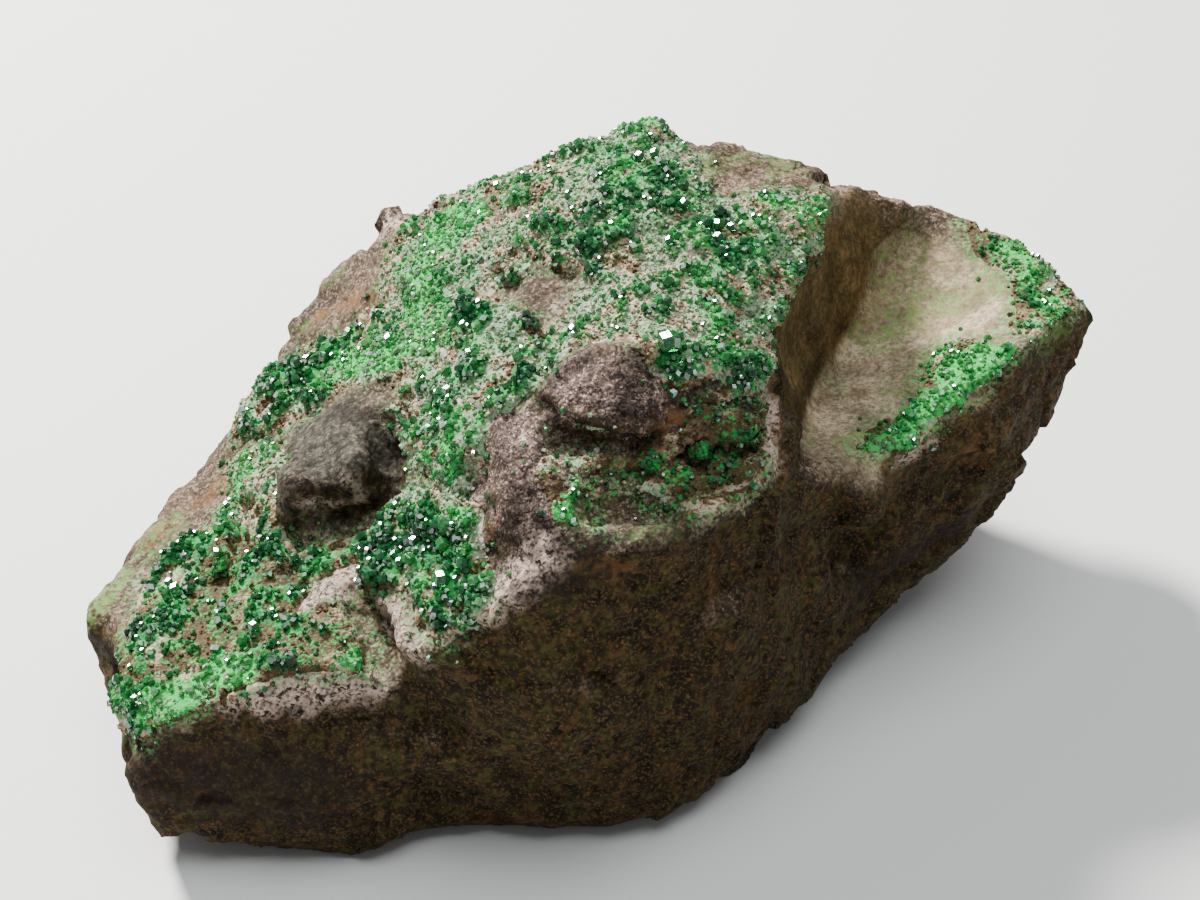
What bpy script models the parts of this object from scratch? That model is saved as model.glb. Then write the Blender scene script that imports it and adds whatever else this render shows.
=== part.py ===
"""A uvarovite garnet cluster: a broken block of chromite rock crusted with small green garnets.

Run with blender --background --python part.py, or from Blender's text editor. The tables are in
millimetres, with +Z up, +X to the right of the front face and the front face towards -Y.
"""

import math
import random

import bmesh
import bpy
from mathutils import Euler, Matrix, Vector, geometry, noise
from mathutils.bvhtree import BVHTree

MM = 0.001
SEED = 5

# The upper edge of the block, once round from the left tip along the front
RIM = {
    "left_tip": (-35.0, -12.0, 10.0),
    "tip_notch": (-32.5, -14.0, 9.5),
    "lobe_left": (-31.0, -19.0, 10.5),
    "lobe_corner": (-30.0, -21.5, 10.5),
    "lobe_front": (-27.0, -23.5, 12.0),
    "lobe_lip_a": (-23.0, -23.0, 14.0),
    "lobe_lip_b": (-19.0, -22.5, 15.0),
    "lobe_lip_c": (-15.5, -22.5, 15.5),
    "gully_mouth": (-13.2, -22.8, 14.0),
    "ledge_corner": (-12.2, -22.8, 17.5),
    "ledge_front": (-10.5, -23.0, 18.0),
    "pink_rim_a": (-7.5, -23.0, 20.0),
    "pink_rim_b": (-4.5, -23.0, 22.5),
    "spur": (-2.5, -22.0, 24.0),
    "lip_a": (1.0, -21.5, 24.5),
    "lip_b": (6.0, -19.5, 24.5),
    "lip_c": (9.0, -17.0, 25.0),
    "scoop_mouth": (11.5, -12.5, 22.5),
    "scoop_lip_a": (15.0, -9.5, 21.5),
    "scoop_lip_b": (18.0, -7.5, 21.5),
    "chip": (20.5, -7.5, 21.0),
    "ledge_a": (22.5, -5.5, 22.5),
    "ledge_b": (26.5, -3.0, 24.5),
    "ledge_c": (30.0, 0.5, 25.0),
    "right_corner": (34.3, 4.3, 24.3),
    "right_rim_a": (31.5, 8.0, 26.0),
    "right_rim_b": (28.5, 11.5, 26.0),
    "right_rim_c": (26.0, 13.5, 26.0),
    "scoop_back": (23.5, 14.5, 26.0),
    "shoulder_a": (20.0, 12.5, 28.5),
    "shoulder_b": (17.5, 12.5, 30.0),
    "back_a": (14.0, 12.0, 31.0),
    "back_bump": (11.0, 13.0, 31.5),
    "back_notch": (9.8, 14.0, 30.0),
    "back_b": (8.0, 14.5, 31.0),
    "peak": (3.5, 13.0, 34.6),
    "back_c": (0.0, 12.0, 33.0),
    "back_d": (-3.0, 12.5, 31.5),
    "back_e": (-7.0, 14.5, 29.0),
    "back_f": (-11.5, 15.0, 27.0),
    "nub": (-15.5, 14.8, 23.8),
    "nub_foot": (-18.0, 15.5, 21.0),
    "left_a": (-19.3, 12.8, 20.0),
    "left_b": (-21.2, 10.8, 18.0),
    "left_c": (-24.3, 6.5, 15.5),
    "left_d": (-26.0, 3.5, 14.5),
    "left_e": (-27.0, 1.5, 13.0),
    "left_f": (-30.0, -0.5, 12.0),
    "left_g": (-32.5, -6.5, 11.0),
    "left_h": (-34.5, -10.5, 10.5),
}

# Heights on the upper face
SPOTS = {
    "crest_a": (2.5, 8.5, 34.0),
    "crest_b": (0.0, 3.5, 33.0),
    "crest_c": (6.5, 1.0, 32.5),
    "crest_d": (10.0, -2.5, 31.5),
    "summit_mid": (7.5, -8.5, 31.0),
    "summit_front": (3.5, -10.5, 31.0),
    "brow": (6.5, -12.5, 30.0),
    "scarp_top_a": (15.5, 6.5, 31.5),
    "scarp_top_b": (13.0, -0.5, 30.5),
    "scarp_top_c": (11.0, -8.0, 29.5),
    "scarp_top_d": (10.5, -11.0, 27.5),
    "scarp_top_e": (10.0, -14.0, 26.0),
    "scarp_foot_a": (22.8, 12.5, 25.0),
    "scarp_foot_b": (19.5, 8.0, 22.5),
    "scarp_foot_c": (16.0, 2.0, 20.5),
    "scarp_foot_d": (13.0, -6.0, 20.5),
    "floor_a": (20.5, 1.5, 21.5),
    "floor_b": (25.5, 7.0, 23.0),
    "floor_c": (28.0, 6.0, 24.5),
    "floor_d": (18.0, -4.0, 20.8),
    "mound_top": (0.5, -12.5, 31.5),
    "mound_side": (-1.5, -15.5, 28.5),
    "mound_foot": (2.5, -16.0, 28.0),
    "hollow_a": (0.5, -17.5, 26.0),
    "hollow_b": (4.5, -15.0, 26.5),
    "hollow_c": (8.3, -14.0, 26.0),
    "hollow_d": (7.0, -16.5, 25.0),
    "hollow_e": (2.5, -18.5, 25.0),
    "slope_a": (-3.0, -13.5, 29.5),
    "slope_b": (-6.0, -13.5, 28.0),
    "slope_c": (-8.0, -14.0, 26.0),
    "slope_d": (-5.5, -19.0, 26.0),
    "slope_e": (-3.5, -20.5, 25.5),
    "slope_foot_a": (-9.0, -16.5, 21.0),
    "slope_foot_b": (-7.0, -20.5, 21.0),
    "back_field_a": (-5.5, 5.0, 30.0),
    "back_field_b": (-10.5, 1.5, 26.5),
    "back_field_c": (-14.0, 9.0, 25.0),
    "back_field_d": (-7.5, -5.5, 27.5),
    "step_a": (-13.5, 1.0, 23.0),
    "step_b": (-18.5, 7.5, 20.0),
    "step_c": (-18.5, 0.5, 19.0),
    "block_back": (-18.5, -4.3, 20.5),
    "block_right": (-14.8, -7.0, 21.5),
    "block_left": (-20.8, -7.0, 19.5),
    "block_front_a": (-20.2, -9.0, 19.3),
    "block_front_b": (-16.6, -10.3, 20.0),
    "block_foot_a": (-20.8, -10.0, 15.5),
    "block_foot_b": (-16.6, -11.2, 16.0),
    "block_foot_c": (-22.2, -6.5, 16.0),
    "crevice_a": (-14.0, -8.4, 17.0),
    "crevice_b": (-14.8, -10.4, 16.5),
    "crevice_back": (-13.2, -6.0, 21.5),
    "crevice_right_a": (-12.4, -8.2, 22.0),
    "crevice_right_b": (-12.2, -11.2, 20.5),
    "centre_a": (-12.5, -14.5, 18.7),
    "gully_top_a": (-14.0, -16.5, 17.5),
    "gully_top_b": (-12.6, -19.5, 17.8),
    "gully_foot_a": (-14.8, -17.5, 15.3),
    "gully_foot_b": (-13.5, -20.0, 14.5),
    "lobe_a": (-16.0, -13.5, 16.5),
    "lobe_outcrop": (-17.0, -16.3, 16.5),
    "lobe_b": (-19.5, -12.7, 15.0),
    "lobe_c": (-23.0, -10.5, 14.0),
    "lobe_d": (-26.5, -11.0, 12.7),
    "lobe_e": (-31.8, -12.5, 11.3),
    "lobe_f": (-28.8, -17.7, 11.8),
    "lobe_g": (-25.4, -18.0, 13.0),
    "lobe_h": (-22.2, -17.5, 14.2),
    "lobe_i": (-18.9, -17.4, 15.0),
    "lobe_j": (-16.2, -19.6, 15.3),
    "flank_a": (-25.5, -3.7, 13.5),
    "flank_b": (-23.5, -2.0, 15.0),
    "flank_c": (-23.4, 3.4, 16.8),
}

# Edges of the upper face that stay sharp
BREAKS = (
    ("shoulder_b", "scarp_top_a", "scarp_top_b", "scarp_top_c", "scarp_top_d", "scarp_top_e", "lip_c"),
    ("scoop_back", "scarp_foot_a", "scarp_foot_b", "scarp_foot_c", "scarp_foot_d", "scoop_mouth"),
    ("scarp_top_c", "brow", "summit_front", "mound_top"),
    ("peak", "crest_a", "crest_b", "back_field_d", "slope_b"),
    ("mound_top", "slope_a", "slope_b", "slope_c"),
    ("slope_c", "slope_foot_a", "slope_foot_b", "pink_rim_a"),
    ("slope_a", "slope_d", "slope_e", "spur"),
    ("hollow_a", "hollow_b", "hollow_c"),
    ("hollow_e", "hollow_d", "scarp_top_e"),
    ("block_left", "block_front_a", "block_front_b", "block_right", "block_back", "block_left"),
    ("block_foot_c", "block_foot_a", "block_foot_b", "crevice_b", "crevice_a", "crevice_back"),
    ("crevice_back", "crevice_right_a", "crevice_right_b"),
    ("gully_top_a", "gully_top_b", "ledge_corner"),
    ("gully_foot_a", "gully_foot_b", "gully_mouth"),
    ("step_c", "flank_b", "flank_a"),
)

# The block's outline lower down, once round from the left
BELLY = (
    (-34.3, -12.5, 7.5),
    (-31.0, -16.0, 6.5),
    (-31.0, -22.0, 7.5),
    (-28.8, -24.8, 7.0),
    (-22.0, -24.8, 8.0),
    (-14.0, -24.0, 8.5),
    (-10.0, -24.0, 10.0),
    (-3.0, -24.3, 12.5),
    (4.0, -23.0, 13.0),
    (9.5, -18.8, 13.0),
    (14.0, -12.5, 13.0),
    (19.0, -8.3, 13.0),
    (25.0, -4.5, 14.0),
    (30.5, 0.5, 15.0),
    (33.2, 5.0, 17.0),
    (32.0, 11.0, 17.0),
    (27.0, 17.0, 16.0),
    (20.0, 19.5, 17.0),
    (11.0, 20.0, 18.0),
    (2.0, 20.5, 18.0),
    (-7.0, 20.0, 16.0),
    (-15.0, 19.5, 13.0),
    (-21.0, 16.0, 11.0),
    (-26.0, 10.5, 9.5),
    (-30.5, 3.0, 8.0),
    (-33.5, -5.0, 7.5),
)
HEEL = (
    (-31.0, -12.0, 3.5),
    (-29.5, -21.0, 3.5),
    (-28.0, -25.3, 3.0),
    (-20.0, -24.6, 1.8),
    (-12.0, -23.2, 2.0),
    (-6.0, -23.0, 1.6),
    (2.0, -22.7, 1.5),
    (7.5, -20.4, 2.2),
    (12.7, -15.7, 3.0),
    (16.2, -10.4, 4.0),
    (20.0, -5.8, 5.0),
    (25.7, -1.6, 6.5),
    (28.5, 5.0, 8.0),
    (27.0, 11.0, 7.0),
    (21.0, 16.0, 5.0),
    (12.0, 18.0, 4.0),
    (2.0, 18.5, 4.0),
    (-8.0, 18.0, 3.5),
    (-16.0, 16.0, 3.0),
    (-23.0, 11.0, 3.0),
    (-27.5, 4.0, 3.0),
    (-30.5, -4.0, 3.0),
)
BASE = (
    (-26.5, -12.0, -1.0),
    (-24.5, -21.0, -1.0),
    (-18.0, -22.0, -1.0),
    (-10.0, -20.8, -1.0),
    (1.0, -20.3, -1.0),
    (6.0, -17.5, -1.0),
    (10.5, -13.5, -1.0),
    (13.5, -8.0, -1.0),
    (17.0, -3.0, -1.0),
    (20.0, 3.0, -1.0),
    (20.0, 9.0, -1.0),
    (15.0, 13.0, -1.0),
    (6.0, 15.5, -1.0),
    (-4.0, 15.5, -1.0),
    (-13.0, 13.0, -1.0),
    (-20.0, 8.0, -1.0),
    (-25.0, 1.0, -1.0),
)
MIDDLE = (0.0, -3.0)

# Lumps that stand out from the rock and dents in it: place, reach and height
LUMPS = (
    ((0.5, -14.0, 30.0), 4.0, 1.1),
    ((-5.5, -16.5, 27.0), 4.0, 0.5),
    ((-15.5, 15.0, 24.0), 2.5, 1.0),
    ((-17.5, 16.5, 21.5), 2.5, -1.2),
    ((17.0, -9.0, 18.0), 3.0, 1.4),
    ((25.5, -5.5, 18.5), 4.0, 1.2),
    ((16.5, -9.5, 13.5), 3.0, -1.6),
    ((-16.0, -24.0, 3.5), 6.0, 0.8),
    ((-10.5, -23.5, 6.0), 4.0, -1.2),
    ((-2.0, -24.0, 13.0), 7.0, 0.9),
    ((2.0, 20.5, 12.0), 8.0, 1.2),
    ((-20.0, 16.0, 9.0), 6.0, -1.0),
    ((30.0, 12.0, 16.0), 6.0, 1.0),
)

# Relief of the broken surface: size of the facets and how far they stand out
FACETS = ((9.0, 0.8), (3.6, 0.4))
GRAIN = (1.6, 0.15)
CELL_SPREAD = 7.3

# Share of that relief on each side of the rock, and where those sides are
SCOOP_SHARE = 0.25
TOP_SHARE = 0.55
SIDE_SHARE = 1.0
BACK_SHARE = 1.8
SCOOP_CENTRE = (22.0, 4.0)
SCOOP_REACH = 13.0
SCOOP_TOP = 27.0
BACK_STARTS = 9.0
TOP_SLOPE = 0.5

VOXEL_MM = 0.6
ROCK_TRIANGLES = 3500
ROCK_COLOUR = (0.16, 0.13, 0.11)
ROCK_ROUGHNESS = 0.85

# The garnet crusts on the upper face: how many large crystals each has, and its outline from above
CRUSTS = {
    "garnet_crust_summit": (
        38,
        (
            (-7.0, 13.5),
            (0.0, 11.5),
            (3.5, 13.0),
            (5.0, 11.0),
            (7.0, 5.0),
            (9.5, 4.0),
            (12.0, 5.5),
            (15.0, 6.5),
            (14.5, 4.0),
            (12.5, -0.5),
            (11.0, -6.0),
            (10.0, -9.5),
            (9.0, -11.5),
            (6.5, -13.0),
            (4.0, -11.8),
            (1.5, -9.8),
            (-1.5, -9.0),
            (-2.5, -10.5),
            (-3.2, -8.0),
            (-1.5, -6.0),
            (-2.0, -4.5),
            (0.0, -4.0),
            (0.0, -2.5),
            (-2.5, -0.5),
            (-4.5, 2.5),
            (-5.5, 6.5),
            (-6.5, 10.5),
        ),
    ),
    "garnet_crust_upper_left": (
        28,
        (
            (-12.0, 14.5),
            (-8.5, 14.0),
            (-7.7, 10.0),
            (-6.8, 4.0),
            (-5.5, 0.5),
            (-7.5, 0.0),
            (-6.8, -3.5),
            (-4.5, -5.5),
            (-4.5, -11.5),
            (-7.0, -12.5),
            (-9.5, -15.0),
            (-10.5, -11.5),
            (-12.0, -8.5),
            (-13.2, -5.0),
            (-12.0, -3.0),
            (-14.5, -1.5),
            (-18.0, 0.5),
            (-23.0, 1.0),
            (-25.5, 3.0),
            (-25.0, 7.0),
            (-21.5, 7.0),
            (-18.0, 6.0),
            (-15.0, 7.0),
            (-14.5, 11.5),
        ),
    ),
    "garnet_crust_front_left": (
        24,
        (
            (-25.5, -0.5),
            (-22.7, -2.0),
            (-22.0, -6.5),
            (-22.5, -9.5),
            (-20.8, -11.5),
            (-20.5, -14.5),
            (-18.5, -17.0),
            (-16.0, -18.5),
            (-14.5, -21.5),
            (-16.0, -21.5),
            (-21.5, -21.5),
            (-27.5, -22.8),
            (-30.0, -21.0),
            (-30.5, -19.0),
            (-29.5, -14.0),
            (-30.0, -10.0),
            (-27.0, -7.5),
            (-25.0, -7.5),
            (-25.2, -4.5),
            (-24.5, -3.5),
        ),
    ),
    "garnet_crust_centre": (
        18,
        (
            (-15.0, -11.8),
            (-12.5, -12.2),
            (-10.0, -15.5),
            (-8.0, -17.5),
            (-7.5, -20.0),
            (-7.5, -22.0),
            (-9.5, -22.8),
            (-10.5, -21.0),
            (-10.5, -19.0),
            (-13.0, -17.0),
            (-14.8, -15.8),
            (-17.0, -14.0),
            (-19.2, -13.3),
            (-19.2, -12.3),
            (-16.5, -11.8),
        ),
    ),
    "garnet_crust_hollow": (
        5,
        (
            (3.0, -15.8),
            (6.0, -14.2),
            (8.8, -13.8),
            (9.2, -15.0),
            (8.0, -16.8),
            (6.0, -17.8),
            (3.5, -18.2),
            (2.3, -16.8),
        ),
    ),
    "garnet_crust_mound_foot": (
        3,
        (
            (-2.5, -16.5),
            (-0.5, -16.5),
            (0.2, -17.5),
            (-0.5, -19.5),
            (-2.0, -19.8),
            (-3.0, -18.0),
        ),
    ),
    "garnet_crust_right_ledge": (
        7,
        (
            (17.5, -7.3),
            (18.0, -6.3),
            (21.0, -4.0),
            (22.0, -2.5),
            (22.3, 0.5),
            (23.7, 1.3),
            (25.0, -0.3),
            (27.0, -1.0),
            (26.0, -3.0),
            (23.0, -4.8),
            (20.0, -6.8),
        ),
    ),
    "garnet_crust_right_rim": (
        6,
        (
            (26.8, 12.5),
            (29.0, 10.8),
            (31.3, 8.0),
            (32.3, 5.5),
            (31.5, 3.0),
            (29.5, 1.2),
            (28.3, 1.8),
            (29.7, 4.5),
            (29.3, 7.0),
            (27.3, 10.5),
        ),
    ),
}
CRUST_GAP = 0.32
CRUST_THICK = 0.75
OUTLINE_STEP = 1.9
OUTLINE_WANDER = 0.8
COLUMN_HEIGHT = 50.0
BEYOND_MM = 100.0
CRYSTAL_RADIUS = (0.6, 0.95)
CRYSTAL_SPACING = 1.5
CRYSTAL_CLEAR = 0.2
CRYSTAL_STEEPEST = 0.3
TRIES = 60
GARNET_COLOUR = (0.02, 0.22, 0.06)
GARNET_ROUGHNESS = 0.2


def clear_scene():
    for obj in list(bpy.data.objects):
        bpy.data.objects.remove(obj)


def material(name, colour, roughness):
    made = bpy.data.materials.new(name)
    made.use_nodes = True
    shader = made.node_tree.nodes["Principled BSDF"]
    shader.inputs["Base Color"].default_value = (*colour, 1.0)
    shader.inputs["Roughness"].default_value = roughness
    shader.inputs["Metallic"].default_value = 0.0
    return made


def new_object(name, bm):
    mesh = bpy.data.meshes.new(name)
    bm.to_mesh(mesh)
    bm.free()
    made = bpy.data.objects.new(name, mesh)
    bpy.context.collection.objects.link(made)
    return made


def apply_modifiers(obj):
    graph = bpy.context.evaluated_depsgraph_get()
    mesh = bpy.data.meshes.new_from_object(obj.evaluated_get(graph))
    obj.modifiers.clear()
    old = obj.data
    obj.data = mesh
    bpy.data.meshes.remove(old)


def outline_point(outline, towards):
    """Where a level line from the middle of the block towards a point leaves this outline."""
    start = Vector(MIDDLE)
    far = start + (Vector(towards[:2]) - start).normalized() * BEYOND_MM
    for a, b in zip(outline, outline[1:] + outline[:1]):
        hit = geometry.intersect_line_line_2d(start, far, a[:2], b[:2])
        if hit:
            share = (hit - Vector(a[:2])).length / (Vector(b[:2]) - Vector(a[:2])).length
            return Vector(a).lerp(Vector(b), share)
    raise ValueError(f"no outline towards {towards}")


def block_shape():
    """The block as a few hundred flat faces: the upper face from its heights, the sides from the outlines."""
    points = {**RIM, **SPOTS}
    names = list(points)
    rim = list(RIM)
    edges = [(names.index(a), names.index(b)) for a, b in zip(rim, rim[1:] + rim[:1])]
    for line in BREAKS:
        edges += [(names.index(a), names.index(b)) for a, b in zip(line, line[1:])]
    flat = [Vector(points[name][:2]) for name in names]
    _, _, faces, kept, _, _ = geometry.delaunay_2d_cdt(flat, edges, [], 1, 1e-4)
    if len(kept) != len(names):
        raise ValueError("two edges of the upper face cross")
    bm = bmesh.new()
    upper = [bm.verts.new(points[names[source[0]]]) for source in kept]
    for face in faces:
        bm.faces.new([upper[i] for i in face])
    place = {names[source[0]]: vert for source, vert in zip(kept, upper)}
    ring = [place[name] for name in rim]
    for outline in (BELLY, HEEL, BASE):
        lower = [bm.verts.new(outline_point(outline, RIM[name])) for name in rim]
        for i in range(len(ring)):
            j = (i + 1) % len(ring)
            bm.faces.new((ring[i], lower[i], lower[j], ring[j]))
        ring = lower
    bm.faces.new(ring[::-1])
    bmesh.ops.triangulate(bm, faces=bm.faces)
    bmesh.ops.recalc_face_normals(bm, faces=bm.faces)
    bmesh.ops.scale(bm, vec=(MM, MM, MM), verts=bm.verts)
    return bm


def facet_height(place, size):
    """Height on a tilted flat facet: one random tilt in each cell of a Voronoi pattern."""
    place = place / size
    centre = noise.voronoi(place)[1][0]
    tilt = noise.cell_vector(centre * CELL_SPREAD) * 2.0 - Vector((1.0, 1.0, 1.0))
    return tilt.dot(place - centre)


def relief(place):
    """How far the broken surface stands out at a place, in millimetres."""
    height = sum(reach * facet_height(place, size) for size, reach in FACETS)
    height += GRAIN[1] * noise.noise(place / GRAIN[0])
    for centre, reach, rise in LUMPS:
        away = (place - Vector(centre)).length / reach
        height += rise * max(0.0, 1.0 - away * away) ** 2
    return height


def roughness(place, normal):
    """Share of the relief at a place: little in the scooped fracture, most on the rough back and underside."""
    if normal.z > TOP_SLOPE:
        in_scoop = (place.xy - Vector(SCOOP_CENTRE)).length < SCOOP_REACH and place.z < SCOOP_TOP
        return SCOOP_SHARE if in_scoop else TOP_SHARE
    return BACK_SHARE if place.y > BACK_STARTS else SIDE_SHARE


def make_rock():
    rock = new_object("matrix_rock", block_shape())
    even = rock.modifiers.new("even", "REMESH")
    even.mode = "VOXEL"
    even.voxel_size = VOXEL_MM * MM
    apply_modifiers(rock)
    bm = bmesh.new()
    bm.from_mesh(rock.data)
    bm.normal_update()
    moves = [(vert, vert.normal.copy(), vert.co / MM) for vert in bm.verts]
    for vert, normal, place in moves:
        vert.co += normal * relief(place) * roughness(place, normal) * MM
    bm.to_mesh(rock.data)
    bm.free()
    fewer = rock.modifiers.new("fewer", "DECIMATE")
    fewer.ratio = ROCK_TRIANGLES / (2 * len(rock.data.polygons))
    fewer.use_collapse_triangulate = True
    apply_modifiers(rock)
    cut_flat(rock)
    return rock


def cut_flat(rock):
    """Cuts the block flat at the height it rests on."""
    side = 2.0 * BEYOND_MM * MM
    bpy.ops.mesh.primitive_cube_add(size=side, location=(0.0, 0.0, -side / 2.0))
    ground = bpy.context.object
    combine(rock, ground, "DIFFERENCE")
    bpy.data.objects.remove(ground)


def inside(outline, place):
    """Whether a place lies inside an outline, both seen from above."""
    crossings = 0
    for a, b in zip(outline, outline[1:] + outline[:1]):
        if (a[1] > place.y) != (b[1] > place.y):
            crossings += place.x < a[0] + (place.y - a[1]) * (b[0] - a[0]) / (b[1] - a[1])
    return crossings % 2 == 1


def ragged(outline):
    """An outline in steps of about a millimetre that wander off its straight runs."""
    points = []
    for a, b in zip(outline, outline[1:] + outline[:1]):
        start = Vector((*a, 0.0))
        run = Vector((*b, 0.0)) - start
        steps = max(1, round(run.length / OUTLINE_STEP))
        for i in range(steps):
            place = start + run * i / steps
            aside = Vector((run.y, -run.x, 0.0)).normalized() * noise.noise(place / OUTLINE_STEP)
            points.append(place + aside * OUTLINE_WANDER)
    return points


def column(outline):
    """A tall column over an outline, from below the rock to above it."""
    bm = bmesh.new()
    foot = bm.faces.new([bm.verts.new(point * MM) for point in ragged(outline)])
    raised = bmesh.ops.extrude_face_region(bm, geom=[foot])["geom"]
    top = [part for part in raised if isinstance(part, bmesh.types.BMVert)]
    bmesh.ops.translate(bm, verts=top, vec=(0.0, 0.0, COLUMN_HEIGHT * MM))
    bmesh.ops.recalc_face_normals(bm, faces=bm.faces)
    return bm


def combine(obj, other, operation):
    """Applies one Boolean. Crystals in the other object may overlap each other."""
    cut = obj.modifiers.new(operation.lower(), "BOOLEAN")
    cut.operation = operation
    cut.object = other
    cut.use_self = operation == "UNION"
    apply_modifiers(obj)


def lifted_copy(obj, lift):
    copy = bpy.data.objects.new("lifted_rock_cutter", obj.data.copy())
    copy.data.transform(Matrix.Translation((0.0, 0.0, lift * MM)))
    bpy.context.collection.objects.link(copy)
    return copy


def keep_largest_body(obj):
    bm = bmesh.new()
    bm.from_mesh(obj.data)
    left = set(bm.verts)
    bodies = []
    while left:
        fresh = {left.pop()}
        body = set(fresh)
        while fresh:
            fresh = {edge.other_vert(vert) for vert in fresh for edge in vert.link_edges} & left
            left -= fresh
            body |= fresh
        bodies.append(body)
    bodies.sort(key=len)
    for body in bodies[:-1]:
        bmesh.ops.delete(bm, geom=list(body), context="VERTS")
    bm.to_mesh(obj.data)
    bm.free()


def add_dodecahedron(bm, centre, radius, turn):
    """One garnet crystal: a rhombic dodecahedron, as the hull of its fourteen corners."""
    half = radius / 2.0
    corners = [Vector((x, y, z)) for x in (-half, half) for y in (-half, half) for z in (-half, half)]
    for axis in range(3):
        for reach in (-radius, radius):
            corner = Vector()
            corner[axis] = reach
            corners.append(corner)
    verts = [bm.verts.new(centre + turn @ corner) for corner in corners]
    bmesh.ops.convex_hull(bm, input=verts)


def crystals_on(surface, rock_tree, outline, count):
    """Garnet crystals spread over a crust's upper side, seen from above, clear of the rock."""
    low, high = (Vector([pick(point[axis] for point in outline) for axis in range(2)]) for pick in (min, max))
    bm = bmesh.new()
    centres = []
    for _ in range(count * TRIES):
        if len(centres) == count:
            break
        place = Vector((random.uniform(low.x, high.x), random.uniform(low.y, high.y), COLUMN_HEIGHT))
        radius = random.uniform(*CRYSTAL_RADIUS) * MM
        turn = Euler([random.uniform(0.0, math.tau) for _ in range(3)]).to_matrix()
        centre, normal, _, _ = surface.ray_cast(place * MM, Vector((0.0, 0.0, -1.0)))
        if not inside(outline, place) or centre is None or normal.z < CRYSTAL_STEEPEST:
            continue
        if any((centre - other).length < CRYSTAL_SPACING * MM for other in centres):
            continue
        if rock_tree.find_nearest(centre)[3] < radius + CRYSTAL_CLEAR * MM:
            continue
        add_dodecahedron(bm, centre, radius, turn)
        centres.append(centre)
    return bm


def make_crusts(rock):
    """Each crust fills its outline between two lifted copies of the rock, and its crystals are joined to it."""
    lower = lifted_copy(rock, CRUST_GAP)
    upper = lifted_copy(rock, CRUST_GAP + CRUST_THICK)
    graph = bpy.context.evaluated_depsgraph_get()
    rock_tree = BVHTree.FromObject(rock, graph)
    surface = BVHTree.FromObject(upper, graph)
    crusts = []
    for name, (count, outline) in CRUSTS.items():
        crust = new_object(name, column(outline))
        combine(crust, upper, "INTERSECT")
        combine(crust, lower, "DIFFERENCE")
        combine(crust, rock, "DIFFERENCE")
        keep_largest_body(crust)
        crystals = new_object("crystal_cutter", crystals_on(surface, rock_tree, outline, count))
        combine(crust, crystals, "UNION")
        keep_largest_body(crust)
        bpy.data.objects.remove(crystals)
        crusts.append(crust)
    bpy.data.objects.remove(lower)
    bpy.data.objects.remove(upper)
    return crusts


def centre_on_origin(objects):
    """Moves the specimen so that the middle of its base box is the origin."""
    corners = [vert.co for obj in objects for vert in obj.data.vertices]
    move = Vector()
    for axis in range(2):
        along = [corner[axis] for corner in corners]
        move[axis] = -(min(along) + max(along)) / 2.0
    for obj in objects:
        obj.data.transform(Matrix.Translation(move))


def main():
    random.seed(SEED)
    clear_scene()
    rock = make_rock()
    crusts = make_crusts(rock)
    rock.data.materials.append(material("chromite_rock", ROCK_COLOUR, ROCK_ROUGHNESS))
    garnet = material("garnet", GARNET_COLOUR, GARNET_ROUGHNESS)
    for crust in crusts:
        crust.data.materials.append(garnet)
    centre_on_origin([rock, *crusts])


main()
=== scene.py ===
"""Looks for a uvarovite garnet cluster: a broken block of chromite rock crusted with green garnets.

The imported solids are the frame. The block gets a broken, grained surface over its solid, and each
garnet crust becomes a druse: a knobbly ground with its crystals grown on it. Tables of places are
in millimetres in the frame's axes, with +Z up and the front face towards -Y. Tables of strokes are
in pixels, and the script casts them from its camera onto the solids.
"""

import math

import bpy
import numpy as np
from bpy.props import FloatProperty, FloatVectorProperty, PointerProperty
from mathutils import Matrix, Vector, noise
from mathutils.bvhtree import BVHTree


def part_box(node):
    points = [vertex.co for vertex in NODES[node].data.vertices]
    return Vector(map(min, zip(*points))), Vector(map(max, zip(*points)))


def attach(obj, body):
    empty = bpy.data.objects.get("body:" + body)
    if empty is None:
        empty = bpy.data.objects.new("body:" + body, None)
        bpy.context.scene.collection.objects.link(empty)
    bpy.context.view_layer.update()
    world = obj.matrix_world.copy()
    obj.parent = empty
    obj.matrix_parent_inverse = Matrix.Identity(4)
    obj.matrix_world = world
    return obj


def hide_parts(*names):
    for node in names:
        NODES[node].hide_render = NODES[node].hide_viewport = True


bl_info = {
    "name": "Uvarovite garnet cluster",
    "version": (1, 0, 0),
    "blender": (4, 5, 0),
    "location": "View3D > Sidebar > Garnet cluster",
    "description": "Rock, garnet druses and studio stage for a garnet specimen",
    "category": "Object",
}

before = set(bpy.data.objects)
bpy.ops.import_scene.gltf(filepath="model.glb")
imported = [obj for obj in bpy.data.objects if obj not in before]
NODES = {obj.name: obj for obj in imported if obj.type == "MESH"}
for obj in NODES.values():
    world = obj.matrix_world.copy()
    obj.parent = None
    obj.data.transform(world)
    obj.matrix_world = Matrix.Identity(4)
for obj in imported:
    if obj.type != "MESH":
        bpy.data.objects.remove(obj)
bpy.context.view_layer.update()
MM = 0.001
BODY = "root"

# The camera's sensor in millimetres, the point that it looks at and the place of the main light
SENSOR = 36.0
AIM = Vector((0.278, 1.517, 15.0)) * MM
KEY_PLACE = Vector((-0.22, 0.26, 0.34))

# The photograph's frame in pixels, and the width of one pixel on the specimen in millimetres
WIDE = 1200
HIGH = 900
PIXEL = 0.07

# Shares of a mark's reach: where it starts to fade, where half of it is left and where it ends
FADE_START = 0.35
FADE_HALF = 0.85
FADE_END = 1.35

# Garnet crystals: side of the cube that each starts from, its bevel and the way out of one face
CUBE = 0.5
BEVEL = 0.045
FACE_OUT = Vector((1.0, 1.0, 0.0)).normalized()

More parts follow.
